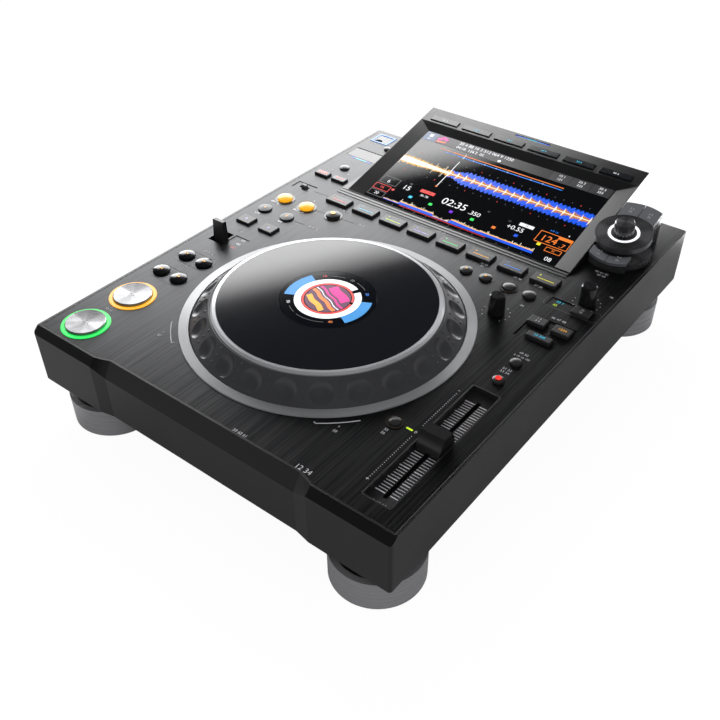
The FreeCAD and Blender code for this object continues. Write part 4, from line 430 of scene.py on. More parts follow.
class Shape:
    """Points, an array of x, y, z in millimetres, and faces, rows of point numbers."""

    def __init__(self, points, faces):
        self.points = np.asarray(points, float).reshape(-1, 3)
        self.faces = [tuple(int(n) for n in face) for face in faces]

    def moved(self, x=0.0, y=0.0, z=0.0):
        return Shape(self.points + (x, y, z), self.faces)

    def turned(self, degrees):
        """Turned about the Z axis: x and y go through a rotation matrix."""
        angle = math.radians(degrees)
        c, s = math.cos(angle), math.sin(angle)
        return Shape(self.points @ np.array(((c, s, 0), (-s, c, 0), (0, 0, 1))), self.faces)


def joined(shapes):
    """All shapes as one: their points in a row, each one's faces counted on."""
    points, faces, count = [], [], 0
    for shape in shapes:
        points.append(shape.points)
        faces += [tuple(n + count for n in face) for face in shape.faces]
        count += len(shape.points)
    return Shape(np.concatenate(points), faces)


def grid_faces(rows, columns, round_=False):
    """Quads between neighbours of a grid stored row by row, closed round each row where asked."""
    last = columns if round_ else columns - 1
    row, column = np.meshgrid(np.arange(rows - 1), np.arange(last), indexing="ij")
    near, far = column.ravel(), (column.ravel() + 1) % columns
    base = row.ravel() * columns
    return np.stack((base + near, base + columns + near, base + columns + far, base + far), axis=1)


def rounded_outline(width, length, corner, count=32):
    """A rectangle with round corners: a corner's centre plus the corner's radius at each angle."""
    angle = (np.arange(count) + 0.5) / count * 2 * np.pi
    x = np.sign(np.cos(angle)) * (width / 2 - corner) + corner * np.cos(angle)
    y = np.sign(np.sin(angle)) * (length / 2 - corner) + corner * np.sin(angle)
    return x, y


def plate(width, length, corner, height=0.08, bevel=0.04, count=32):
    """A low plate: its outline, drawn in by each inset, at each height up to the middle of the top."""
    insets = (0.0, 0.0, bevel, min(width, length) / 2 - 0.001)
    heights = (0.0, height - bevel, height, height)
    rings = []
    for inset, level in zip(insets, heights):
        radius = max(corner - inset, 0.0005)
        x, y = rounded_outline(width - 2 * inset, length - 2 * inset, radius, count)
        rings.append(np.stack((x, y, np.full(count, level)), axis=1))
    faces = grid_faces(len(rings), count, True)[:, ::-1]
    return Shape(np.concatenate(rings), faces)


def arc_band(inner, outer, start, end, height=0.08, count=None):
    """A flat band of a ring: radius runs over two edges and a foot, angle from start to end in degrees."""
    count = count or max(int(abs(end - start) / 3), 2) + 1
    angle = np.radians(np.linspace(start, end, count))
    radii = np.array((inner, inner, outer, outer))
    levels = np.array((0.0, height, height, 0.0))
    radius, turn = np.meshgrid(radii, angle, indexing="ij")
    level = np.broadcast_to(levels[:, None], radius.shape)
    points = np.stack((radius * np.cos(turn), radius * np.sin(turn), level), axis=-1)
    return Shape(points, grid_faces(4, count))


def disc(radius, height=0.08, count=64):
    """A flat disc: a band from a point in the middle to the edge."""
    return arc_band(0.001, radius, 0.0, 360.0, height, count + 1)


def stroke(path, width, height=0.08):
    """A line of even width: the path's points moved to either side along the normal of the path there."""
    path = np.asarray(path, float)
    along = np.gradient(path, axis=0)
    along /= np.linalg.norm(along, axis=1, keepdims=True)
    side = np.stack((-along[:, 1], along[:, 0]), axis=1) * width / 2
    edges = (path - side, path - side, path + side, path + side)
    levels = (0.0, height, height, 0.0)
    points = [np.column_stack((edge, np.full(len(path), level))) for edge, level in zip(edges, levels)]
    return Shape(np.concatenate(points), grid_faces(4, len(path)))


def bars(x, low, high, width, height=0.05):
    """Upright bars side by side: each is one quad from low to high at its x."""
    x, low, high = (np.broadcast_to(np.asarray(v, float), np.shape(x)) for v in (x, low, high))
    left, right = x - width / 2, x + width / 2
    corners = ((left, low), (right, low), (right, high), (left, high))
    points = np.stack([np.stack((a, b, np.full(a.shape, height)), axis=-1) for a, b in corners], axis=1)
    return Shape(points, np.arange(4 * len(left)).reshape(-1, 4))


def outline(width, length, corner, line, height=0.08):
    """The edge line of a rounded rectangle: a closed stroke along its outline."""
    x, y = rounded_outline(width, length, corner, 48)
    path = np.stack((x, y), axis=1)
    return stroke(np.concatenate((path, path[:1])), line, height)


def dash_row(length, width, count, height=0.08):
    """A row of short dashes along x."""
    pitch = length / count
    ends = [(n + 0.5 - count / 2) * pitch for n in range(count)]
    return joined([plate(pitch * 0.72, width, 0.1, height, 0.02, 8).moved(end) for end in ends])


def dome(radius, height, rows=6, count=16):
    """A low dome: radius shrinks with the cosine and height grows with the sine of one quarter turn."""
    rise = np.linspace(0.0, np.pi / 2 - 0.001, rows)
    turn = np.arange(count) / count * 2 * np.pi
    lift, around = np.meshgrid(rise, turn, indexing="ij")
    reach = radius * np.cos(lift)
    points = np.stack((reach * np.cos(around), reach * np.sin(around), height * np.sin(lift)), axis=-1)
    return Shape(points, grid_faces(rows, count, True)[:, ::-1])


def jitter(x, seed):
    """A number from 0 to 1 that jumps about with x: the broken part of a large sine."""
    wave = np.sin(np.asarray(x) * 12.9898 + seed) * 43758.5453
    return wave - np.floor(wave)


def triangle(size, height=0.08):
    """A play mark, pointing along x: an equilateral triangle."""
    angle = np.radians((0.0, 120.0, 240.0))
    points = np.stack((np.cos(angle), np.sin(angle), np.full(3, height / size)), axis=1) * size
    return Shape(points, [(0, 1, 2)])


def lettered(text, size, height=0.08):
    """Numbers, centred, as flat faces, from Blender's own font."""
    curve = bpy.data.curves.new("letters", "FONT")
    curve.body = text
    curve.size = 1.0
    curve.align_x = "CENTER"
    curve.align_y = "CENTER"
    holder = bpy.data.objects.new("letters", curve)
    mesh = holder.to_mesh()
    points = np.empty(len(mesh.vertices) * 3)
    mesh.vertices.foreach_get("co", points)
    points = points.reshape(-1, 3) * size + (0, 0, height)
    faces = [tuple(polygon.vertices) for polygon in mesh.polygons]
    holder.to_mesh_clear()
    bpy.data.objects.remove(holder)
    bpy.data.curves.remove(curve)
    return Shape(points, faces)


class Spot:
    """A place to put shapes: an origin in millimetres, the way x runs, and the way up."""

    def __init__(self, origin, up=UP, along=(1.0, 0.0, 0.0)):
        self.origin = np.asarray(origin, float)
        self.up = np.asarray(up, float) / np.linalg.norm(up)
        flat = np.asarray(along, float)
        flat = flat - self.up * (flat @ self.up)
        self.along = flat / np.linalg.norm(flat)
        self.back = np.cross(self.up, self.along)

    def put(self, shape, x=0.0, y=0.0, lift=PRINT_LIFT):
        """The shape, carried from its own x, y, z to this spot's."""
        axes = np.stack((self.along, self.back, self.up))
        return Shape((shape.points + (x, y, lift)) @ axes + self.origin, shape.faces)


def corner_points(node):
    """A CAD node's points in millimetres and its triangles' point numbers."""
    mesh = frame["nodes"][node].data
    points = np.empty(len(mesh.vertices) * 3)
    mesh.vertices.foreach_get("co", points)
    triangles = np.empty(len(mesh.loops), int)
    mesh.loops.foreach_get("vertex_index", triangles)
    return points.reshape(-1, 3) / MM, triangles.reshape(-1, 3)


def solids_of(node):
    """A node's separate solids, each as its points, from left to right.

    Points at one place share a number; the lowest spreads over every triangle until none changes.
    """
    points, triangles = corner_points(node)
    _, place = np.unique(np.round(points, 3), axis=0, return_inverse=True)
    place = place.ravel()
    corners = place[triangles]
    label = np.arange(place.max() + 1)
    while True:
        spread = label.copy()
        low = np.repeat(spread[corners].min(axis=1), 3)
        np.minimum.at(spread, corners.ravel(), low)
        spread = spread[spread]
        if np.array_equal(spread, label):
            break
        label = spread
    solids = [points[label[place] == mark] for mark in np.unique(label[place])]
    return sorted(solids, key=lambda solid: solid[:, 0].mean())


def face_normal(node):
    """The normal of a node's largest triangle that faces up."""
    points, triangles = corner_points(node)
    a, b, c = (points[triangles[:, n]] for n in range(3))
    cross = np.cross(b - a, c - a)
    size = np.linalg.norm(cross, axis=1)
    size = np.where(cross[:, 2] > 0.5 * size, size, 0.0)
    best = cross[size.argmax()]
    return best / np.linalg.norm(best)


class Ground:
    """The whole player as seen from above: finds what lies under a point of the plan."""

    def __init__(self):
        points, triangles, self.owner = [], [], []
        count = 0
        for node in frame["nodes"]:
            corners, faces = corner_points(node)
            points.append(corners)
            triangles.append(faces + count)
            self.owner += [node] * len(faces)
            count += len(corners)
        points, triangles = np.concatenate(points), np.concatenate(triangles)
        self.tree = BVHTree.FromPolygons(points.tolist(), triangles.tolist())

    def under(self, x, y):
        """The spot under a point of the plan and the body it belongs to."""
        place, normal, face, _ = self.tree.ray_cast(Vector((x, y, 400.0)), Vector((0.0, 0.0, -1.0)))
        if place is None:
            raise RuntimeError(f"nothing lies under {x}, {y}")
        node = frame["nodes"][self.owner[face]]
        return Spot(place, normal), body_of(node)[0]


class Marks:
    """Flat marks gathered by body and tint; each gathering becomes one piece."""

    def __init__(self, name, slot, lit=False):
        self.name = name
        self.slot = slot
        self.lit = lit
        self.groups = {}

    def add(self, tint, body, shape):
        self.groups.setdefault((tint, body), []).append(shape)

    def make(self):
        for (tint, body), shapes in self.groups.items():
            name = f"{self.name}_{tint}" if body == "casing" else f"{self.name}_{tint}_{body}"
            make_piece(name, shapes, tint_paint(tint, self.lit), body)


def tint_paint(tint, lit):
    """Ink or lit plastic of one of the player's colours, made once."""
    name = ("lit_" if lit else "ink_") + tint
    if name in bpy.data.materials:
        return bpy.data.materials[name]
    colour = getattr(colours(), tint)
    return lit_plastic(name, colour, 0.92) if lit else printed_ink(name, colour)


def top_spot(points, up=UP, share=0.05):
    """The middle of a solid's highest face along a direction."""
    level = points @ (np.asarray(up) / np.linalg.norm(up))
    face = points[level > level.max() - share]
    spot = Spot(face.mean(axis=0), up)
    across, back = face @ spot.along, face @ spot.back
    middle = spot.along * (across.max() + across.min()) / 2 + spot.back * (back.max() + back.min()) / 2
    spot.origin = middle + spot.up * level.max()
    return spot


def joint_axis(name):
    """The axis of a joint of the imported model."""
    return np.array(next(joint["axis"] for joint in frame["joints"] if joint["name"] == name), float)


def make_piece(name, shapes, paint, body):
    """One mesh object of several shapes, which rides on a body."""
    shape = joined(shapes)
    mesh = bpy.data.meshes.new(name)
    mesh.from_pydata((shape.points * MM).tolist(), [], shape.faces)
    mesh.materials.append(paint)
    mesh.update()
    piece = bpy.data.objects.new(name, mesh)
    bpy.context.scene.collection.objects.link(piece)
    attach(piece, body)
    return piece


def dress(paint, *nodes):
    """Gives CAD nodes a finish."""
    for node in nodes:
        mesh = frame["nodes"][node].data
        mesh.materials.clear()
        mesh.materials.append(paint)


# Settings


def colour_setting(name, description, default):
    return bpy.props.FloatVectorProperty(
        name=name, description=description, default=default, size=3, min=0.0, max=1.0, subtype="COLOR"
    )


def size_setting(name, description, default):
    """A length in millimetres."""
    words = description + ", in millimetres"
    return bpy.props.FloatProperty(name=name, description=words, default=default, min=0.0)


def power_setting(name, description, default):
    return bpy.props.FloatProperty(name=name, description=description, default=default, unit="POWER")


class PlayerColours(bpy.types.PropertyGroup):
    """Colours of the finishes and of the lit marks."""

    deck: colour_setting("Deck", "Brushed deck plate", (0.024, 0.0245, 0.026))
    cabinet: colour_setting("Cabinet", "Satin painted cabinet", (0.0060, 0.0060, 0.0062))
    rim: colour_setting("Rim", "Jog wheel's rim", (0.062, 0.063, 0.067))
    key: colour_setting("Keys", "Dark grey keys", (0.028, 0.028, 0.030))
    pale_key: colour_setting("Pale keys", "Lighter grey keys round the dial", (0.16, 0.165, 0.18))
    silver: colour_setting("Silver", "Polished aluminium", (0.72, 0.73, 0.75))
    ink: colour_setting("Ink", "White print", (0.72, 0.72, 0.74))
    green: colour_setting("Green", "Green light", (0.02, 0.85, 0.12))
    amber: colour_setting("Amber", "Amber light", (1.0, 0.46, 0.015))
    red: colour_setting("Red", "Red light", (0.85, 0.03, 0.02))
    blue: colour_setting("Blue", "Blue light", (0.01, 0.22, 0.9))
    cyan: colour_setting("Cyan", "Cyan light", (0.02, 0.6, 0.9))
    lilac: colour_setting("Lilac", "Lilac light", (0.5, 0.35, 0.95))
    lime: colour_setting("Lime", "Yellow-green light", (0.6, 0.9, 0.02))
    white: colour_setting("White", "White light", (0.95, 0.96, 1.0))
    sky: colour_setting("Sky blue", "Arcs of the jog display", (0.0, 0.26, 0.68))
    cream: colour_setting("Cream", "Past part of the wave on the screen", (1.0, 0.86, 0.68))
    orange: colour_setting("Orange", "Orange light", (0.95, 0.22, 0.02))
    bronze: colour_setting("Bronze", "Middle band of the wave on the screen", (0.55, 0.2, 0.01))
    royal: colour_setting("Royal blue", "Low band of the wave on the screen", (0.0, 0.09, 0.82))
    violet: colour_setting("Violet", "Violet light", (0.16, 0.0, 0.7))
    yellow: colour_setting("Yellow", "Yellow light", (0.85, 0.8, 0.02))
    magenta: colour_setting("Magenta", "Magenta light", (0.9, 0.0, 0.3))
    plum: colour_setting("Plum", "Ground of the round picture", (0.09, 0.005, 0.06))
    band: colour_setting("Band", "Head band of the screen", (0.012, 0.012, 0.013))
    tab: colour_setting("Tab", "Grey tabs of the screen", (0.035, 0.035, 0.037))
    tile: colour_setting("Tile", "Grey-blue tile of the screen", (0.06, 0.1, 0.2))
    dim: colour_setting("Dim", "Dim grey marks", (0.09, 0.09, 0.095))
    black: colour_setting("Black", "Black marks", (0.002, 0.002, 0.002))


class JogPicture(bpy.types.PropertyGroup):
    """Sizes of the rings shown in the middle of the jog wheel."""

    picture: size_setting("Picture", "Radius of the picture in the middle", 17.2)
    red_ring: size_setting("Red ring", "Outer radius of the red ring", 19.8)
    white_ring: size_setting("White ring", "Outer radius of the white ring", 25.0)
    blue_arc: size_setting("Blue arc", "Outer radius of the blue arcs", 33.1)


class StudioSettings(bpy.types.PropertyGroup):
    """Camera and light."""

    camera_place: bpy.props.FloatVectorProperty(
        name="Camera",
        description="Place of the camera",
        default=(0.34973, -0.48701, 0.47765),
        size=3,
        subtype="XYZ",
        unit="LENGTH",
    )
    camera_aim: bpy.props.FloatVectorProperty(
        name="Aim",
        description="Direction in which the camera looks",
        default=(-0.46685, 0.60920, -0.64103),
        size=3,
        subtype="DIRECTION",
    )
    lens: bpy.props.FloatProperty(
        name="Lens", description="Focal length in millimetres for a 36 mm sensor", default=44.26
    )
    key_power: power_setting("Key light", "Power of the soft light behind and to the left", 9.0)
    fill_power: power_setting("Fill light", "Power of the soft light in front", 5.0)


def colours():
    return bpy.context.scene.player_colours


# Operators


class PLAYER_OT_casing(bpy.types.Operator):
    """Finishes the cabinet, deck, feet, sockets and inside boards"""

    bl_idname = "player.casing"
    bl_label = "Casing"

    def execute(self, context):
        tint = colours()
        dress(painted_metal("cabinet_paint", tint.cabinet), "cabinet", "bottom_plate")
        dress(brushed_deck("deck_brushed", tint.deck), "top_panel")
        dress(painted_metal("dark_zinc", (0.12, 0.12, 0.125), 0.3), "case_screws")
        self.finish_feet()
        dress(gloss_plastic("socket_plastic", (0.03, 0.03, 0.032), 0.25), "rear_sockets")
        dress(moulded_plastic("switch_plastic", (0.03, 0.03, 0.03)), "power_switch")
        dress(moulded_plastic("board_lacquer", (0.01, 0.09, 0.035), 0.3), "main_board", "power_supply")
        dress(moulded_plastic("reader_plastic", (0.02, 0.02, 0.022)), "card_reader")
        return {"FINISHED"}

    def finish_feet(self):
        """Rings brushed round the upright axis, cores of rubber."""
        dress(brushed_ring("foot_brushed", (0.40, 0.40, 0.41)), "foot_rings")
        dress(moulded_plastic("foot_rubber", (0.012, 0.012, 0.012), 0.7, 0.0001), "foot_cores")


def brushed_ring(name, colour):
    """Aluminium brushed level round an upright cylinder: fine level lines of height and colour."""
    paint = Paint(name)
    level = paint.noise(paint.stretched((9.0, 9.0, 5200.0)), detail=3.0)
    return paint.surface(
        Base_Color=paint.mixed(level, darker(colour, 0.94), darker(colour, 1.06)),
        Metallic=0.5,
        Roughness=0.28 + (level - 0.5) * 0.2,
        Normal=paint.bump(level, 0.000003, 1.0),
    )


class PLAYER_OT_jog_wheel(bpy.types.Operator):
    """Finishes the jog wheel, its silver ring and its posts"""

    bl_idname = "player.jog_wheel"
    bl_label = "Jog wheel"

    def execute(self, context):
        tint = colours()
        centre = (0.0, self.middle() * MM, 0.0)
        dress(moulded_plastic("rim_satin", tint.rim, 0.3, 0.00002), "jog_rim")
        # The trim and the silver ring carry a painted fan of highlight and shade wedges.
        trim = turned_metal(
            "trim_turned", tint.silver, centre, roughness=0.16, groove=0.000004, metallic=0.35, painted_sheen=0.4
        )
        dress(trim, "jog_trim_ring")
        grey = darker(tint.silver, 0.42)
        dress(turned_metal("ring_turned", grey, centre, roughness=0.3, metallic=0.25, painted_sheen=0.5), "jog_ring")
        dress(self.platter(centre), "jog_top_plate")
        dress(moulded_plastic("carrier_plastic", (0.02, 0.02, 0.02)), "jog_base")
        self.set_nubs(tint)
        return {"FINISHED"}

    def set_nubs(self, tint):
        """Three small nubs across the slope between each two dimples."""
        points, triangles = corner_points("jog_rim")
        tree = BVHTree.FromPolygons(points.tolist(), triangles.tolist())
        nubs = []
        for step in range(DIMPLES):
            turn = math.radians((step + 0.5) * 360.0 / DIMPLES + DIMPLE_TURN)
            for radius in NUB_RADII:
                x, y = radius * math.cos(turn), self.middle() + radius * math.sin(turn)
                place, normal, _, _ = tree.ray_cast(Vector((x, y, 300.0)), Vector((0.0, 0.0, -1.0)))
                nubs.append(Spot(place, normal).put(dome(1.15, 0.55), lift=-0.02))
        satin = moulded_plastic("nub_satin", tint.rim, 0.3, 0.00001)
        make_piece("jog_nubs", nubs, satin, "jog_wheel")

    def middle(self):
        low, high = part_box("jog_rim")
        return (low.y + high.y) / 2 / MM

    def platter(self, centre):
        """Gloss black with very fine grooves round the middle."""
        black = (0.012, 0.013, 0.017)
        return turned_metal(
            "platter_gloss", black, centre, roughness=0.09, groove=0.0000012, pitch=0.0009, metallic=0.0
        )


class PLAYER_OT_jog_display(bpy.types.Operator):
    """Lays the rings, arcs and picture on the display in the middle of the wheel"""

    bl_idname = "player.jog_display"
    bl_label = "Jog display"

    def execute(self, context):
        rings = context.scene.jog_picture
        dress(gloss_plastic("display_glass", (0.004, 0.005, 0.008), 0.06), "jog_display")
        self.spot = top_spot(corner_points("jog_display")[0])
        self.marks = Marks("jog", "display_glass", lit=True)
        for start in (-29.0, 151.0):
            self.lay("sky", arc_band(rings.white_ring, rings.blue_arc, start, start + 56.0))
        self.lay("white", arc_band(rings.red_ring, rings.white_ring, 65.0, 415.0))
        self.lay("red", arc_band(rings.picture + 0.6, rings.red_ring - 0.4, 21.0, 373.0))
        self.mark_round()
        self.lay_picture(rings.picture)
        self.marks.make()
        return {"FINISHED"}

    def lay(self, tint, shape):
        self.marks.add(tint, "casing", self.spot.put(shape))

    def mark_round(self):
        """Small numbers and thin arcs round the rings."""
        for tint, text, angle in ROUND_NUMBERS:
            side = 1.0 if angle > 0 else -1.0
            number = lettered(text, 3.4).moved(0, side * 29.2)
            self.lay(tint, number.turned(angle - side * 90.0))
        for start, end in ((102, 124), (58, 80), (-102, -57), (-124, -108)):
            self.lay("dim", arc_band(29.0, 29.3, start, end))

    def lay_picture(self, radius):
        """A plain pattern of slanting bands in warm colours, cut to the round picture."""
        self.lay("plum", disc(radius))
        for tint, offset, width in PICTURE_BANDS:
            half = math.sqrt(radius**2 - (abs(offset) + width / 2) ** 2) - 0.3
            x = np.linspace(-half, half, 24)
            path = np.stack((x, offset + 0.5 * np.sin(x / 2.4)), axis=1)
            self.lay(tint, stroke(path, width, 0.12).turned(-24.0))


class PLAYER_OT_transport(bpy.types.Operator):
    """Finishes play, cue, search and track keys and their lit rings"""

    bl_idname = "player.transport"
    bl_label = "Transport keys"

    def execute(self, context):
        tint = colours()
        self.light_rings(tint)
        # Play, cue, search and track caps carry a painted fan of highlight and shade wedges.
        for node in ("play_button", "cue_button"):
            spot = top_spot(corner_points(node)[0], share=1.2)
            grey = (0.25, 0.25, 0.26)
            dress(turned_metal(node + "_cap", grey, spot.origin * MM, groove=0.00002, painted_sheen=0.9), node)
        small = ("search_back_button", "search_forward_button", "track_back_button", "track_forward_button")
        for node in small:
            spot = top_spot(corner_points(node)[0], share=1.0)
            black = (0.035, 0.035, 0.037)
            dress(turned_metal(node + "_cap", black, spot.origin * MM, roughness=0.16, painted_sheen=0.9), node)
        return {"FINISHED"}

    def light_rings(self, tint):
        """The node holds three rings: the front one is green, the next amber, the dial's white."""
        paints = [
            lit_plastic("ring_green", tint.green, 1.0),
            lit_plastic("ring_amber", tint.amber, 1.0),
            lit_plastic("ring_white", tint.white, 1.0),
        ]
        node = frame["nodes"]["light_rings"]
        points, triangles = corner_points("light_rings")
        middle = points[triangles].mean(axis=1)
        play_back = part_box("play_button")[1].y / MM + 6.0
        choice = np.where(middle[:, 0] > 0, 2, np.where(middle[:, 1] > play_back, 1, 0))
        node.data.materials.clear()
        for paint in paints:
            node.data.materials.append(paint)
        node.data.polygons.foreach_set("material_index", choice.astype(np.int32))


class PLAYER_OT_keys(bpy.types.Operator):
    """Finishes the push keys, knobs, lever and bezels"""

    bl_idname = "player.keys"
    bl_label = "Keys and knobs"

    def execute(self, context):
        tint = colours()
        key = moulded_plastic("key_plastic", tint.key, 0.4)
        dress(key, "beat_jump_back_button", "beat_jump_forward_button", "sync_buttons")
        dress(key, "beat_loop_short_button", "beat_loop_long_button", "reloop_button")
        dress(key, *(f"hot_cue_button_{number}" for number in range(1, 9)))
        round_key = moulded_plastic("round_key_plastic", (0.035, 0.034, 0.033), 0.3)
        dress(round_key, "memory_buttons", "tempo_buttons")
        dress(lit_plastic("loop_amber", tint.amber, 0.9), "loop_in_button", "loop_out_button")
        dress(gloss_plastic("bezel_dark", (0.03, 0.025, 0.02), 0.2), "button_bezels")
        dress(moulded_plastic("mode_key_plastic", (0.036, 0.035, 0.035), 0.3), "mode_buttons")
        dress(moulded_plastic("lever_plastic", (0.022, 0.022, 0.024), 0.32), "direction_lever")
        dress(gloss_plastic("knob_plastic", (0.012, 0.012, 0.013), 0.16), "jog_adjust_knob", "speed_knob")
        dress(moulded_plastic("lock_plastic", (0.1, 0.1, 0.105)), "lock_switch")
        dress(moulded_plastic("tray_plastic", (0.02, 0.02, 0.021), 0.4), "tempo_tray_and_fader")
        dress(gloss_plastic("fader_cap", (0.02, 0.02, 0.021), 0.2), "tempo_slider")
        return {"FINISHED"}


class PLAYER_OT_ports(bpy.types.Operator):
    """Finishes the card door and the USB port with its cover"""

    bl_idname = "player.ports"
    bl_label = "Ports"

    def execute(self, context):
        dress(moulded_plastic("door_plastic", (0.06, 0.06, 0.062), 0.35), "card_door")
        dress(lit_plastic("port_blue", (0.01, 0.16, 0.55), 0.75), "usb_port")
        dress(moulded_plastic("port_cover", (0.13, 0.135, 0.14), 0.35), "usb_cover")
        return {"FINISHED"}


class PLAYER_OT_screen(bpy.types.Operator):
    """Finishes the screen unit"""

    bl_idname = "player.screen"
    bl_label = "Screen"

    def execute(self, context):
        dress(moulded_plastic("housing_plastic", (0.012, 0.012, 0.013), 0.34), "screen_housing")
        dress(gloss_plastic("screen_glass", (0.006, 0.0065, 0.008), 0.05), "display_module")
        dress(gloss_plastic("screen_key", (0.012, 0.013, 0.016), 0.2), "screen_buttons")
        return {"FINISHED"}


class PLAYER_OT_selector(bpy.types.Operator):
    """Finishes the selector's dial, knob and keys"""

    bl_idname = "player.selector"
    bl_label = "Selector"

    def execute(self, context):
        tint = colours()
        axis = joint_axis("selector_turn")
        centre = np.array(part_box("selector_knob")[0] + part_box("selector_knob")[1]) / 2
        # The dial and the cap carry a painted fan of highlight and shade wedges.
        dress(turned_metal("dial_turned", (0.13, 0.13, 0.135), centre, axis, 0.25, painted_sheen=1.0), "selector_base")
        dress(turned_metal("selector_cap", (0.16, 0.16, 0.165), centre, axis, 0.25, painted_sheen=1.0), "selector_knob")
        dress(painted_metal("shaft_steel", (0.3, 0.3, 0.3), 0.3), "selector_shaft")
        dress(moulded_plastic("pod_key_plastic", tint.pale_key, 0.35), "selector_buttons")
        return {"FINISHED"}


class PLAYER_OT_key_marks(bpy.types.Operator):
    """Lays the lit and printed marks on the keys, windows and knobs"""

    bl_idname = "player.key_marks"
    bl_label = "Key marks"

    def execute(self, context):
        self.ground = Ground()
        self.lit = Marks("mark", "clear_ring", lit=True)
        self.ink = Marks("print", "deck_metal")
        self.mark_left_column()
        self.mark_hot_cues()
        self.mark_right_column()
        self.mark_screen_keys()
        self.lit.make()
        self.ink.make()
        return {"FINISHED"}

    def lay(self, marks, tint, shape, x, y, lift=PRINT_LIFT):
        spot, body = self.ground.under(x, y)
        marks.add(tint, body, spot.put(shape, lift=lift))

    def mark_left_column(self):
        for y in TRANSPORT_ROWS:
            self.lay(self.ink, "white", triangle(1.6), -138.0, y)
            self.lay(self.ink, "white", plate(0.7, 2.4, 0.1), -134.6, y)
        for y in PAIR_ROWS:
            for x, turn in PAIR_COLUMNS:
                for shift in (-1.1, 1.1):
                    self.lay(self.lit, "amber", triangle(1.2).turned(turn), x + shift, y)
        for x, turn in ((-145.8, 180.0), (-120.2, 0.0)):
            self.lay(self.lit, "lilac", triangle(1.5).turned(turn), x, -17.8)
        for x, text in ((-147.0, "4"), (-121.4, "8")):
            self.lay(self.lit, "amber", lettered(text, 4.2), x, 6.8)
        self.lay(self.lit, "amber", disc(2.2), -91.0, 33.5)
        self.lay(self.lit, "red", plate(9.4, 3.2, 0.4), -147.6, 88.2)
        self.lay(self.lit, "red", plate(8.6, 0.8, 0.2), -128.0, 88.2)
        for tint, y in (("red", -56.4), ("white", -49.8), ("white", -43.4)):
            self.lay(self.lit, tint, lettered("123", 3.0), -125.6, y)

    def mark_hot_cues(self):
        for number, tint in enumerate(CUE_TINTS, 1):
            body = f"hot_cue_button_{number}"
            spot = top_spot(corner_points(body)[0])
            self.lit.add(tint, body, spot.put(dash_row(15.0, 0.9, 11), 0.6, -1.6))
            self.lit.add(tint, body, spot.put(lettered(str(number), 3.0), -6.0, 2.6))

    def mark_right_column(self):
        for x, turn in ((47.8, 180.0), (66.0, 0.0)):
            self.lay(self.lit, "amber", triangle(1.3).turned(turn), x, 32.0)
        self.lay(self.lit, "red", disc(2.3), 138.8, -69.2)
        texts = (
            (self.lit, "cyan", "33 1", 3.6, 128.6, 38.6),
            (self.lit, "lime", "45", 3.6, 126.8, 33.6),
            (self.ink, "ink", "33", 2.6, 148.2, 36.6),
            (self.ink, "ink", "45", 2.6, 148.2, 33.4),
            (self.ink, "ink", "1 2", 2.8, 127.6, 7.6),
            (self.ink, "ink", "3 4", 2.8, 127.6, 4.4),
            (self.lit, "amber", "1234", 3.4, 147.9, 5.4),
            (self.lit, "cyan", "12 345", 3.4, 138.1, -11.2),
        )
        for marks, tint, text, size, x, y in texts:
            self.lay(marks, tint, lettered(text, size), x, y)

    def mark_screen_keys(self):
        up = face_normal("screen_buttons")
        spots = [top_spot(solid, up) for solid in solids_of("screen_buttons")]
        spots.sort(key=lambda spot: spot.origin[0])
        for number, (tint, spot) in enumerate(zip(SCREEN_TINTS, spots), 1):
            self.lit.add(tint, "screen_buttons", spot.put(lettered(f"{number}{number} {number}", 3.0)))
        up = face_normal("selector_buttons")
        for number, solid in enumerate(solids_of("selector_buttons"), 1):
            spot = top_spot(solid, up)
            for text, y in ((f"{number} {number}", 1.8), (f"{number}{number}", -1.8)):
                self.ink.add("ink", "selector_buttons", spot.put(lettered(text, 2.8), 0.0, y))


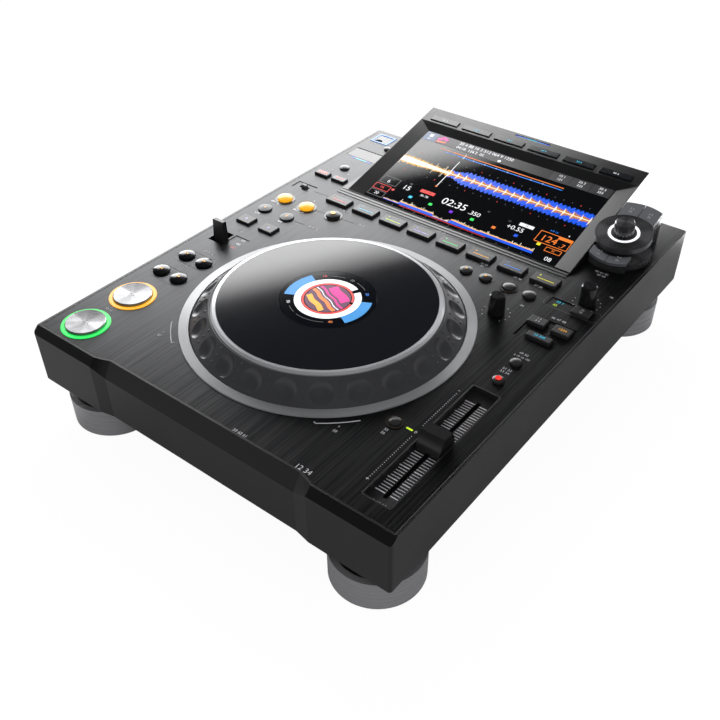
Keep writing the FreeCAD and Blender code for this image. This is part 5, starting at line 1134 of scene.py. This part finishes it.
class PLAYER_OT_deck_marks(bpy.types.Operator):
    """Prints numbers, lines, scales and outlines on the deck"""

    bl_idname = "player.deck_marks"
    bl_label = "Deck marks"

    def execute(self, context):
        self.ink = Marks("deck", "deck_metal")
        self.lit = Marks("deck_lamp", "clear_ring", lit=True)
        self.ground = Ground()
        level, _ = self.ground.under(60.0, -215.0)
        self.deck = Spot((0.0, 0.0, level.origin[2]))
        self.print_numbers()
        self.print_lines()
        self.print_scales()
        self.light_lamps()
        self.ink.make()
        self.lit.make()
        return {"FINISHED"}

    def lay(self, tint, shape, x, y, marks=None):
        (marks or self.ink).add(tint, "casing", self.deck.put(shape, x, y))

    def print_numbers(self):
        for text, x, y, size in DECK_NUMBERS:
            self.lay("ink", lettered(text, size), x, y)

    def print_lines(self):
        """Pills, lines, frames of the key pairs and of the knob, arrows round the wheel, a black plate of
        painted shadow at each key pair, and painted highlights along the deck's side edges.
        """
        for x, y, length in DECK_PILLS:
            self.lay("ink", plate(length, 2.6, 1.0), x, y)
        for ends in DECK_LINES:
            self.lay("dim", stroke(ends, 0.3), 0.0, 0.0)
        for y in PAIR_ROWS:
            self.lay("dim", outline(37.0, 17.6, 8.6, 0.35), PAIR_MIDDLE, y)
            # Painted shadow: a black plate between the two keys of each pair, where the deck lies in shade.
            self.lay("black", plate(9.0, 3.4, 1.0), PAIR_MIDDLE, y + 4.6)
        self.print_arrows()
        self.lay("dim", outline(44.6, 13.4, 4.0, 0.4), 140.0, 36.0)
        # Painted highlights: a thin lighter line along each side edge of the deck, where the edge catches
        # light.
        for x in (-EDGE_HIGHLIGHT_X, EDGE_HIGHLIGHT_X):
            self.lay("dim", stroke(((x, -221.0), (x, 193.0)), 0.5), 0.0, 0.0)

    def print_arrows(self):
        """Two arcs in front of the wheel, each with the one barb of an arrow at its end."""
        for start, end in ((220.3, 233.6), (-54.2, -40.2)):
            self.lay("ink", arc_band(115.9, 116.5, start, end), 0.0, JOG_Y)
        for degrees, turn in ((233.6, 413.6), (-54.2, 155.8)):
            angle = math.radians(degrees)
            barb = stroke(((0.0, 0.0), (2.6, 0.9)), 0.5).turned(turn)
            self.lay("ink", barb, 116.6 * math.cos(angle), 116.6 * math.sin(angle) + JOG_Y)

    def print_scales(self):
        """Dots beside the slider and round the knobs, ticks and numbers in the slider's tray."""
        for y in (*np.arange(-137.0, -97.0, 2.05), *np.arange(-193.0, -149.0, 2.05)):
            self.lay("ink", disc(0.33, count=8), SLIDER_SCALE_X, float(y))
        for x, y in KNOBS:
            for turn in range(-45, 226, 27):
                angle = math.radians(turn)
                dot = disc(0.42, count=8)
                self.lay("ink", dot, x + KNOB_SCALE * math.cos(angle), y + KNOB_SCALE * math.sin(angle))
        tray, _ = self.ground.under(131.0, -100.0)
        floor = Spot((*TRAY_MIDDLE, tray.origin[2]))
        for step in range(-20, 21):
            inner, outer, width = (1.9, 8.6, 0.5) if step % 5 else (1.9, 9.4, 0.8)
            for side in (-1.0, 1.0):
                tick = plate(outer - inner, width, 0.1, count=8)
                self.ink.add("ink", "casing", floor.put(tick, side * (outer + inner) / 2, step * 2.5))
        self.ink.add("ink", "casing", floor.put(lettered("0 10 20", 3.4), 0.0, -59.0))

    def light_lamps(self):
        self.lay("lime", plate(5.0, 1.4, 0.3), 118.7, -145.0, self.lit)
        for tint, x, length in (("royal", -147.0, 5.0), ("cyan", -138.0, 13.0), ("royal", -129.0, 5.0)):
            self.lay(tint, plate(length, 1.3, 0.3), x, 133.0, self.lit)


class PLAYER_OT_screen_picture(bpy.types.Operator):
    """Lays numbers, frames and waves on the screen"""

    bl_idname = "player.screen_picture"
    bl_label = "Screen picture"

    def execute(self, context):
        up = face_normal("display_module")
        self.spot = top_spot(corner_points("display_module")[0], up)
        self.marks = Marks("screen", "display_glass", lit=True)
        self.draw_head()
        self.draw_wave()
        self.draw_boxes()
        self.draw_overview()
        self.marks.make()
        self.light_bar(up)
        return {"FINISHED"}

    def lay(self, tint, shape, x=0.0, y=0.0, lift=PRINT_LIFT):
        self.marks.add(tint, "casing", self.spot.put(shape, x, y, lift))

    def write(self, tint, text, size, x, y, lift=PRINT_LIFT):
        self.lay(tint, lettered(text, size), x, y, lift)

    def fill(self, tint, width, length, x, y, lift=PRINT_LIFT, corner=0.3):
        self.lay(tint, plate(width, length, corner), x, y, lift)

    def edge(self, tint, width, length, x, y, line=0.5, corner=0.4):
        self.lay(tint, outline(width, length, corner, line), x, y)

    def draw_head(self):
        """A dark band with a grey-blue tile, a small picture, two rows of numbers and three tabs."""
        self.fill("band", 181.0, 12.2, 7.0, HEAD_Y)
        self.fill("tile", 13.0, 12.2, -91.0, HEAD_Y)
        self.fill("white", 3.4, 4.2, -91.0, 48.4, OVER_LIFT, 0.4)
        self.write("white", "01", 3.0, -91.0, 43.4, OVER_LIFT)
        self.fill("plum", 11.4, 10.6, SLEEVE_X, HEAD_Y, OVER_LIFT, 0.2)
        self.lay("magenta", stroke(((-4.6, -1.4), (0.6, 3.4), (4.8, 0.6)), 3.4), SLEEVE_X, HEAD_Y, 0.2)
        self.lay("orange", stroke(((-4.4, -3.8), (4.8, -2.6)), 1.6), SLEEVE_X, HEAD_Y, 0.26)
        self.write("white", "20 4 88 16 3 512 064 9 1250", 5.0, -31.0, 49.8, OVER_LIFT)
        self.write("white", "04:18  126.2  05", 4.6, -45.0, 43.9, OVER_LIFT)
        self.lay("white", disc(1.6), -13.0, 43.4, OVER_LIFT)
        for number, x in enumerate((48.2, 67.8, 87.4), 1):
            self.fill("tab", 18.6, 12.0, x, HEAD_Y, OVER_LIFT)
            self.write("white", f"{number}0 {number}", 3.8, x, 49.4, 0.2)
            self.write("white", f"{number}2{number}", 3.8, x, 44.8, 0.2)
        self.draw_phase()

    def draw_phase(self):
        """Two thin level lines below the head, their dashes and the small ticks of the beats."""
        for tint, y, start in (("orange", 35.7, -58.0), ("blue", 32.8, -52.0)):
            self.lay(tint, stroke(((start, y), (57.4, y)), 0.85))
            self.lay(tint, dash_row(13.0, 0.7, 5), start - 8.0, y)
        for x in range(-34, 56, 12):
            tint = "red" if x in (14, 50) else "white"
            self.fill(tint, 0.4, 1.6, float(x), 33.0, OVER_LIFT, 0.1)
        self.fill("white", 0.5, 7.0, PLAY_X, 34.6, OVER_LIFT, 0.1)

    def draw_bars(self, tint, x, low, high, lift, width=BAR, y=WAVE_Y):
        self.lay(tint, bars(x, low, high, width), 0.0, y, lift)

    def draw_wave(self):
        """A cream and amber wave up to the play line, then blue lobes with bronze and cream middles."""
        past = np.arange(-97.4, -45.2, 0.4)
        core = 1.1 + 2.3 * np.clip((-past - 44.0) / 40.0, 0.15, 1.0)
        fringe = core + 0.5 + 2.6 * jitter(past, 1.0) ** 3
        spike = core + 7.0 * jitter(past, 4.0) ** 14
        self.draw_bars("amber", past, -fringe, fringe, 0.0)
        self.draw_bars("cream", past, -core, core, 0.05)
        self.draw_bars("cream", past, -spike, spike, 0.04, 0.3)
        ahead = np.arange(PLAY_EDGE, 97.6, 0.4)
        beat = np.mod(ahead - PLAY_EDGE, BEAT) / BEAT
        lobe = 5.2 + 3.2 * np.abs(np.sin(beat * 2 * np.pi)) ** 0.6 + 1.6 * jitter(ahead, 2.0)
        lobe *= np.clip((ahead + 50.0) / 22.0, 0.55, 1.0)
        middle = 1.4 + 2.6 * (1.0 - beat) ** 2 + 1.8 * jitter(ahead, 3.0) ** 2
        white = 0.5 + 5.4 * np.clip(1.0 - beat * 4.2, 0.0, 1.0) ** 1.5
        self.draw_bars("royal", ahead, -lobe, lobe, 0.0)
        self.draw_bars("bronze", ahead, -middle, middle, 0.05)
        self.draw_bars("cream", ahead, -white, white, 0.1)
        for y in (22.4, -5.8):
            for step in range(23):
                tint = "red" if step % 4 == 1 else "dim"
                self.fill(tint, 0.45, 1.6, -93.0 + step * BEAT, y, corner=0.1)
        self.fill("white", 0.7, 38.0, PLAY_X, 7.4, 0.2, 0.1)
        self.lay("orange", triangle(1.6).turned(90.0), PLAY_X, -12.4, 0.2)

    def draw_boxes(self):
        """The boxes and numbers below the wave."""
        for row in SCREEN_EDGES:
            self.edge(*row)
        for row in SCREEN_BOXES:
            self.fill(*row)
        for row in SCREEN_TEXTS:
            self.write(*row)

    def draw_overview(self):
        """The whole tune as one low wave, with coloured square markers above and a red line below."""
        x = np.arange(-79.0, 74.0, 0.5)
        knees = (-79, -63, -62, -26, -25, -9, -8, 20, 21, 74)
        heights = (1.0, 1.0, 3.8, 3.8, 0.7, 0.7, 4.8, 3.0, 3.6, 3.6)
        rise = np.interp(x, knees, heights)
        top = rise + 1.3 * jitter(x, 5.0) ** 2 + 2.6 * jitter(x, 6.0) ** 12
        for tint, low, high in (
            ("royal", 0.0 * x, rise * 0.82),
            ("amber", rise * 0.82, rise + 0.4),
            ("cream", rise + 0.3, top),
        ):
            self.draw_bars(tint, x, low, high, PRINT_LIFT, 0.52, OVERVIEW_Y)
        self.lay("red", stroke(((-60.0, -49.6), (30.0, -49.6)), 0.5))
        for step in range(12):
            self.fill("dim", 0.5, 1.2, -66.0 + step * 12.0, -51.4, corner=0.1)
        for number, tint in enumerate(MARKER_TINTS):
            self.fill(tint, 3.4, 3.0, -57.5 + number * 21.8, -35.6, corner=0.2)

    def light_bar(self, up):
        """The slim lamp let into the housing above the keys: cyan, blue at its ends."""
        lamp = Marks("bar", "clear_ring", lit=True)
        ground = Ground()
        tilt = math.atan2(-up[1], up[2])
        y = SLOPE_FOOT_Y + LAMP_UP_SLOPE * math.cos(tilt)
        for tint, x, length in LAMP_PARTS:
            place, _ = ground.under(x, y)
            lamp.add(tint, "casing", Spot(place.origin, up).put(plate(length, 1.3, 0.1)))
        lamp.make()


def one_face(name, corners):
    """One four-cornered face, without a thickness, in the scene."""
    mesh = bpy.data.meshes.new(name)
    mesh.from_pydata(corners, [], [(0, 1, 2, 3)])
    sheet = bpy.data.objects.new(name, mesh)
    bpy.context.scene.collection.objects.link(sheet)
    return sheet


class PLAYER_OT_studio(bpy.types.Operator):
    """Sets up the floor, the world, the lights and the camera"""

    bl_idname = "player.studio"
    bl_label = "Studio"

    def execute(self, context):
        settings = context.scene.studio_settings
        self.lay_floor()
        self.light_world(context)
        self.stand_card()
        self.hang_light("key_softbox", (-0.75, 0.9, 1.05), (0.0, 0.0, 0.09), 0.9, settings.key_power)
        self.hang_light("fill_softbox", (0.9, -1.0, 1.3), (0.0, -0.05, 0.05), 1.3, settings.fill_power)
        self.place_camera(context, settings)
        context.scene.view_settings.view_transform = "Standard"
        return {"FINISHED"}

    def lay_floor(self):
        """A wide pale floor, which the camera sees nearly white, with the object's shadow on it."""
        half = 6.0
        corners = [(-half, -half, 0.0), (half, -half, 0.0), (half, half, 0.0), (-half, half, 0.0)]
        floor = one_face("floor", corners)
        paint = Paint("floor_paper")
        fleck = paint.noise(paint.place(), 300.0, 2.0)
        tone = paint.mixed(fleck, (0.80, 0.80, 0.80, 1.0), (0.84, 0.84, 0.84, 1.0))
        paper = paint.node("ShaderNodeBsdfDiffuse", None, {"Color": tone})
        glow = paint.node("ShaderNodeEmission", None, {"Color": (1.0, 1.0, 1.0, 1.0), "Strength": 1.1})
        seen = paint.node("ShaderNodeLightPath").take("Is Camera Ray")
        shader = paint.node("ShaderNodeMixShader", None, (seen * 0.86, paper, glow))
        floor.data.materials.append(paint.finish(shader))

    def light_world(self, context):
        """A room white to the camera, pale low down and dark overhead in reflections, dim as light."""
        world = bpy.data.worlds.new("studio")
        world.use_nodes = True
        context.scene.world = world
        paint = Paint("studio", world.node_tree)
        way = paint.node("ShaderNodeTexCoord").take("Generated")
        rise = paint.node("ShaderNodeSeparateXYZ", None, (way,)).take("Z")
        path = paint.node("ShaderNodeLightPath")
        mirrored = (path.take("Is Glossy Ray") + path.take("Is Transmission Ray")).clamped()
        height = (rise / 0.42).clamped()
        room = paint.mixed(height, (0.75, 0.75, 0.76, 1.0), (0.016, 0.016, 0.018, 1.0))
        diffuse = (0.34, 0.34, 0.35, 1.0)
        seen = paint.mixed(mirrored, diffuse, room)
        tone = paint.mixed(path.take("Is Camera Ray"), seen, (1.0, 1.0, 1.0, 1.0))
        light = paint.node("ShaderNodeBackground", None, {"Color": tone, "Strength": 1.0})
        paint.node("ShaderNodeOutputWorld", None, {"Surface": light})

    def stand_card(self):
        """A reflector card behind the player, seen only in glossy faces.

        Its light falls off towards its slanting upper edge.
        """
        left, right, foot = -1.1, 0.22, 0.02
        corners = [(left, CARD_Y, foot), (right, CARD_Y, foot)]
        corners += [(x, CARD_Y, CARD_TOP - CARD_SLOPE * x) for x in (right, left)]
        card = one_face("reflector_card", corners)
        paint = Paint("reflector_card")
        place = paint.node("ShaderNodeSeparateXYZ", None, (paint.place(),))
        below = CARD_TOP - place.take("X") * CARD_SLOPE - place.take("Z")
        power = (below * 150.0 + 1.0).at_most(7.5)
        glow = paint.node("ShaderNodeEmission", None, {"Color": (1.0, 1.0, 1.0, 1.0), "Strength": power})
        card.data.materials.append(paint.finish(glow))
        for kind in ("camera", "diffuse", "shadow", "transmission"):
            setattr(card, "visible_" + kind, False)

    def hang_light(self, name, place, aim, size, power):
        lamp = bpy.data.lights.new(name, "AREA")
        lamp.shape = "RECTANGLE"
        lamp.size = size
        lamp.size_y = size * 0.7
        lamp.energy = power
        holder = bpy.data.objects.new(name, lamp)
        holder.visible_glossy = False
        holder.location = place
        direction = Vector(aim) - Vector(place)
        holder.rotation_euler = direction.to_track_quat("-Z", "Y").to_euler()
        bpy.context.scene.collection.objects.link(holder)

    def place_camera(self, context, settings):
        """The photograph's camera: level, looking down over the front right corner."""
        camera = bpy.data.cameras.new("camera")
        camera.lens = settings.lens
        camera.sensor_width = 36.0
        camera.shift_x = -0.01549
        camera.shift_y = 0.01525
        camera.clip_start = 0.01
        holder = bpy.data.objects.new("camera", camera)
        holder.location = settings.camera_place
        holder.rotation_euler = Vector(settings.camera_aim).to_track_quat("-Z", "Y").to_euler()
        context.scene.collection.objects.link(holder)
        context.scene.camera = holder


OPERATORS = (
    PLAYER_OT_casing,
    PLAYER_OT_jog_wheel,
    PLAYER_OT_jog_display,
    PLAYER_OT_transport,
    PLAYER_OT_keys,
    PLAYER_OT_ports,
    PLAYER_OT_screen,
    PLAYER_OT_selector,
    PLAYER_OT_key_marks,
    PLAYER_OT_deck_marks,
    PLAYER_OT_screen_picture,
    PLAYER_OT_studio,
)


class PLAYER_PT_looks(bpy.types.Panel):
    """Lists the player's pieces and settings"""

    bl_idname = "PLAYER_PT_looks"
    bl_label = "Media Player"
    bl_space_type = "VIEW_3D"
    bl_region_type = "UI"
    bl_category = "Player"

    def draw(self, context):
        for operator in OPERATORS:
            self.layout.operator(operator.bl_idname)
        for group in (context.scene.player_colours, context.scene.jog_picture, context.scene.studio_settings):
            for name in group.__annotations__:
                self.layout.prop(group, name)


CLASSES = (PlayerColours, JogPicture, StudioSettings, *OPERATORS, PLAYER_PT_looks)


def register():
    for entry in CLASSES:
        bpy.utils.register_class(entry)
    bpy.types.Scene.player_colours = bpy.props.PointerProperty(type=PlayerColours)
    bpy.types.Scene.jog_picture = bpy.props.PointerProperty(type=JogPicture)
    bpy.types.Scene.studio_settings = bpy.props.PointerProperty(type=StudioSettings)


def unregister():
    del bpy.types.Scene.studio_settings
    del bpy.types.Scene.jog_picture
    del bpy.types.Scene.player_colours
    for entry in reversed(CLASSES):
        bpy.utils.unregister_class(entry)


def main():
    register()
    for operator in OPERATORS:
        group, name = operator.bl_idname.split(".")
        getattr(getattr(bpy.ops, group), name)()


if __name__ == "__main__":
    main()
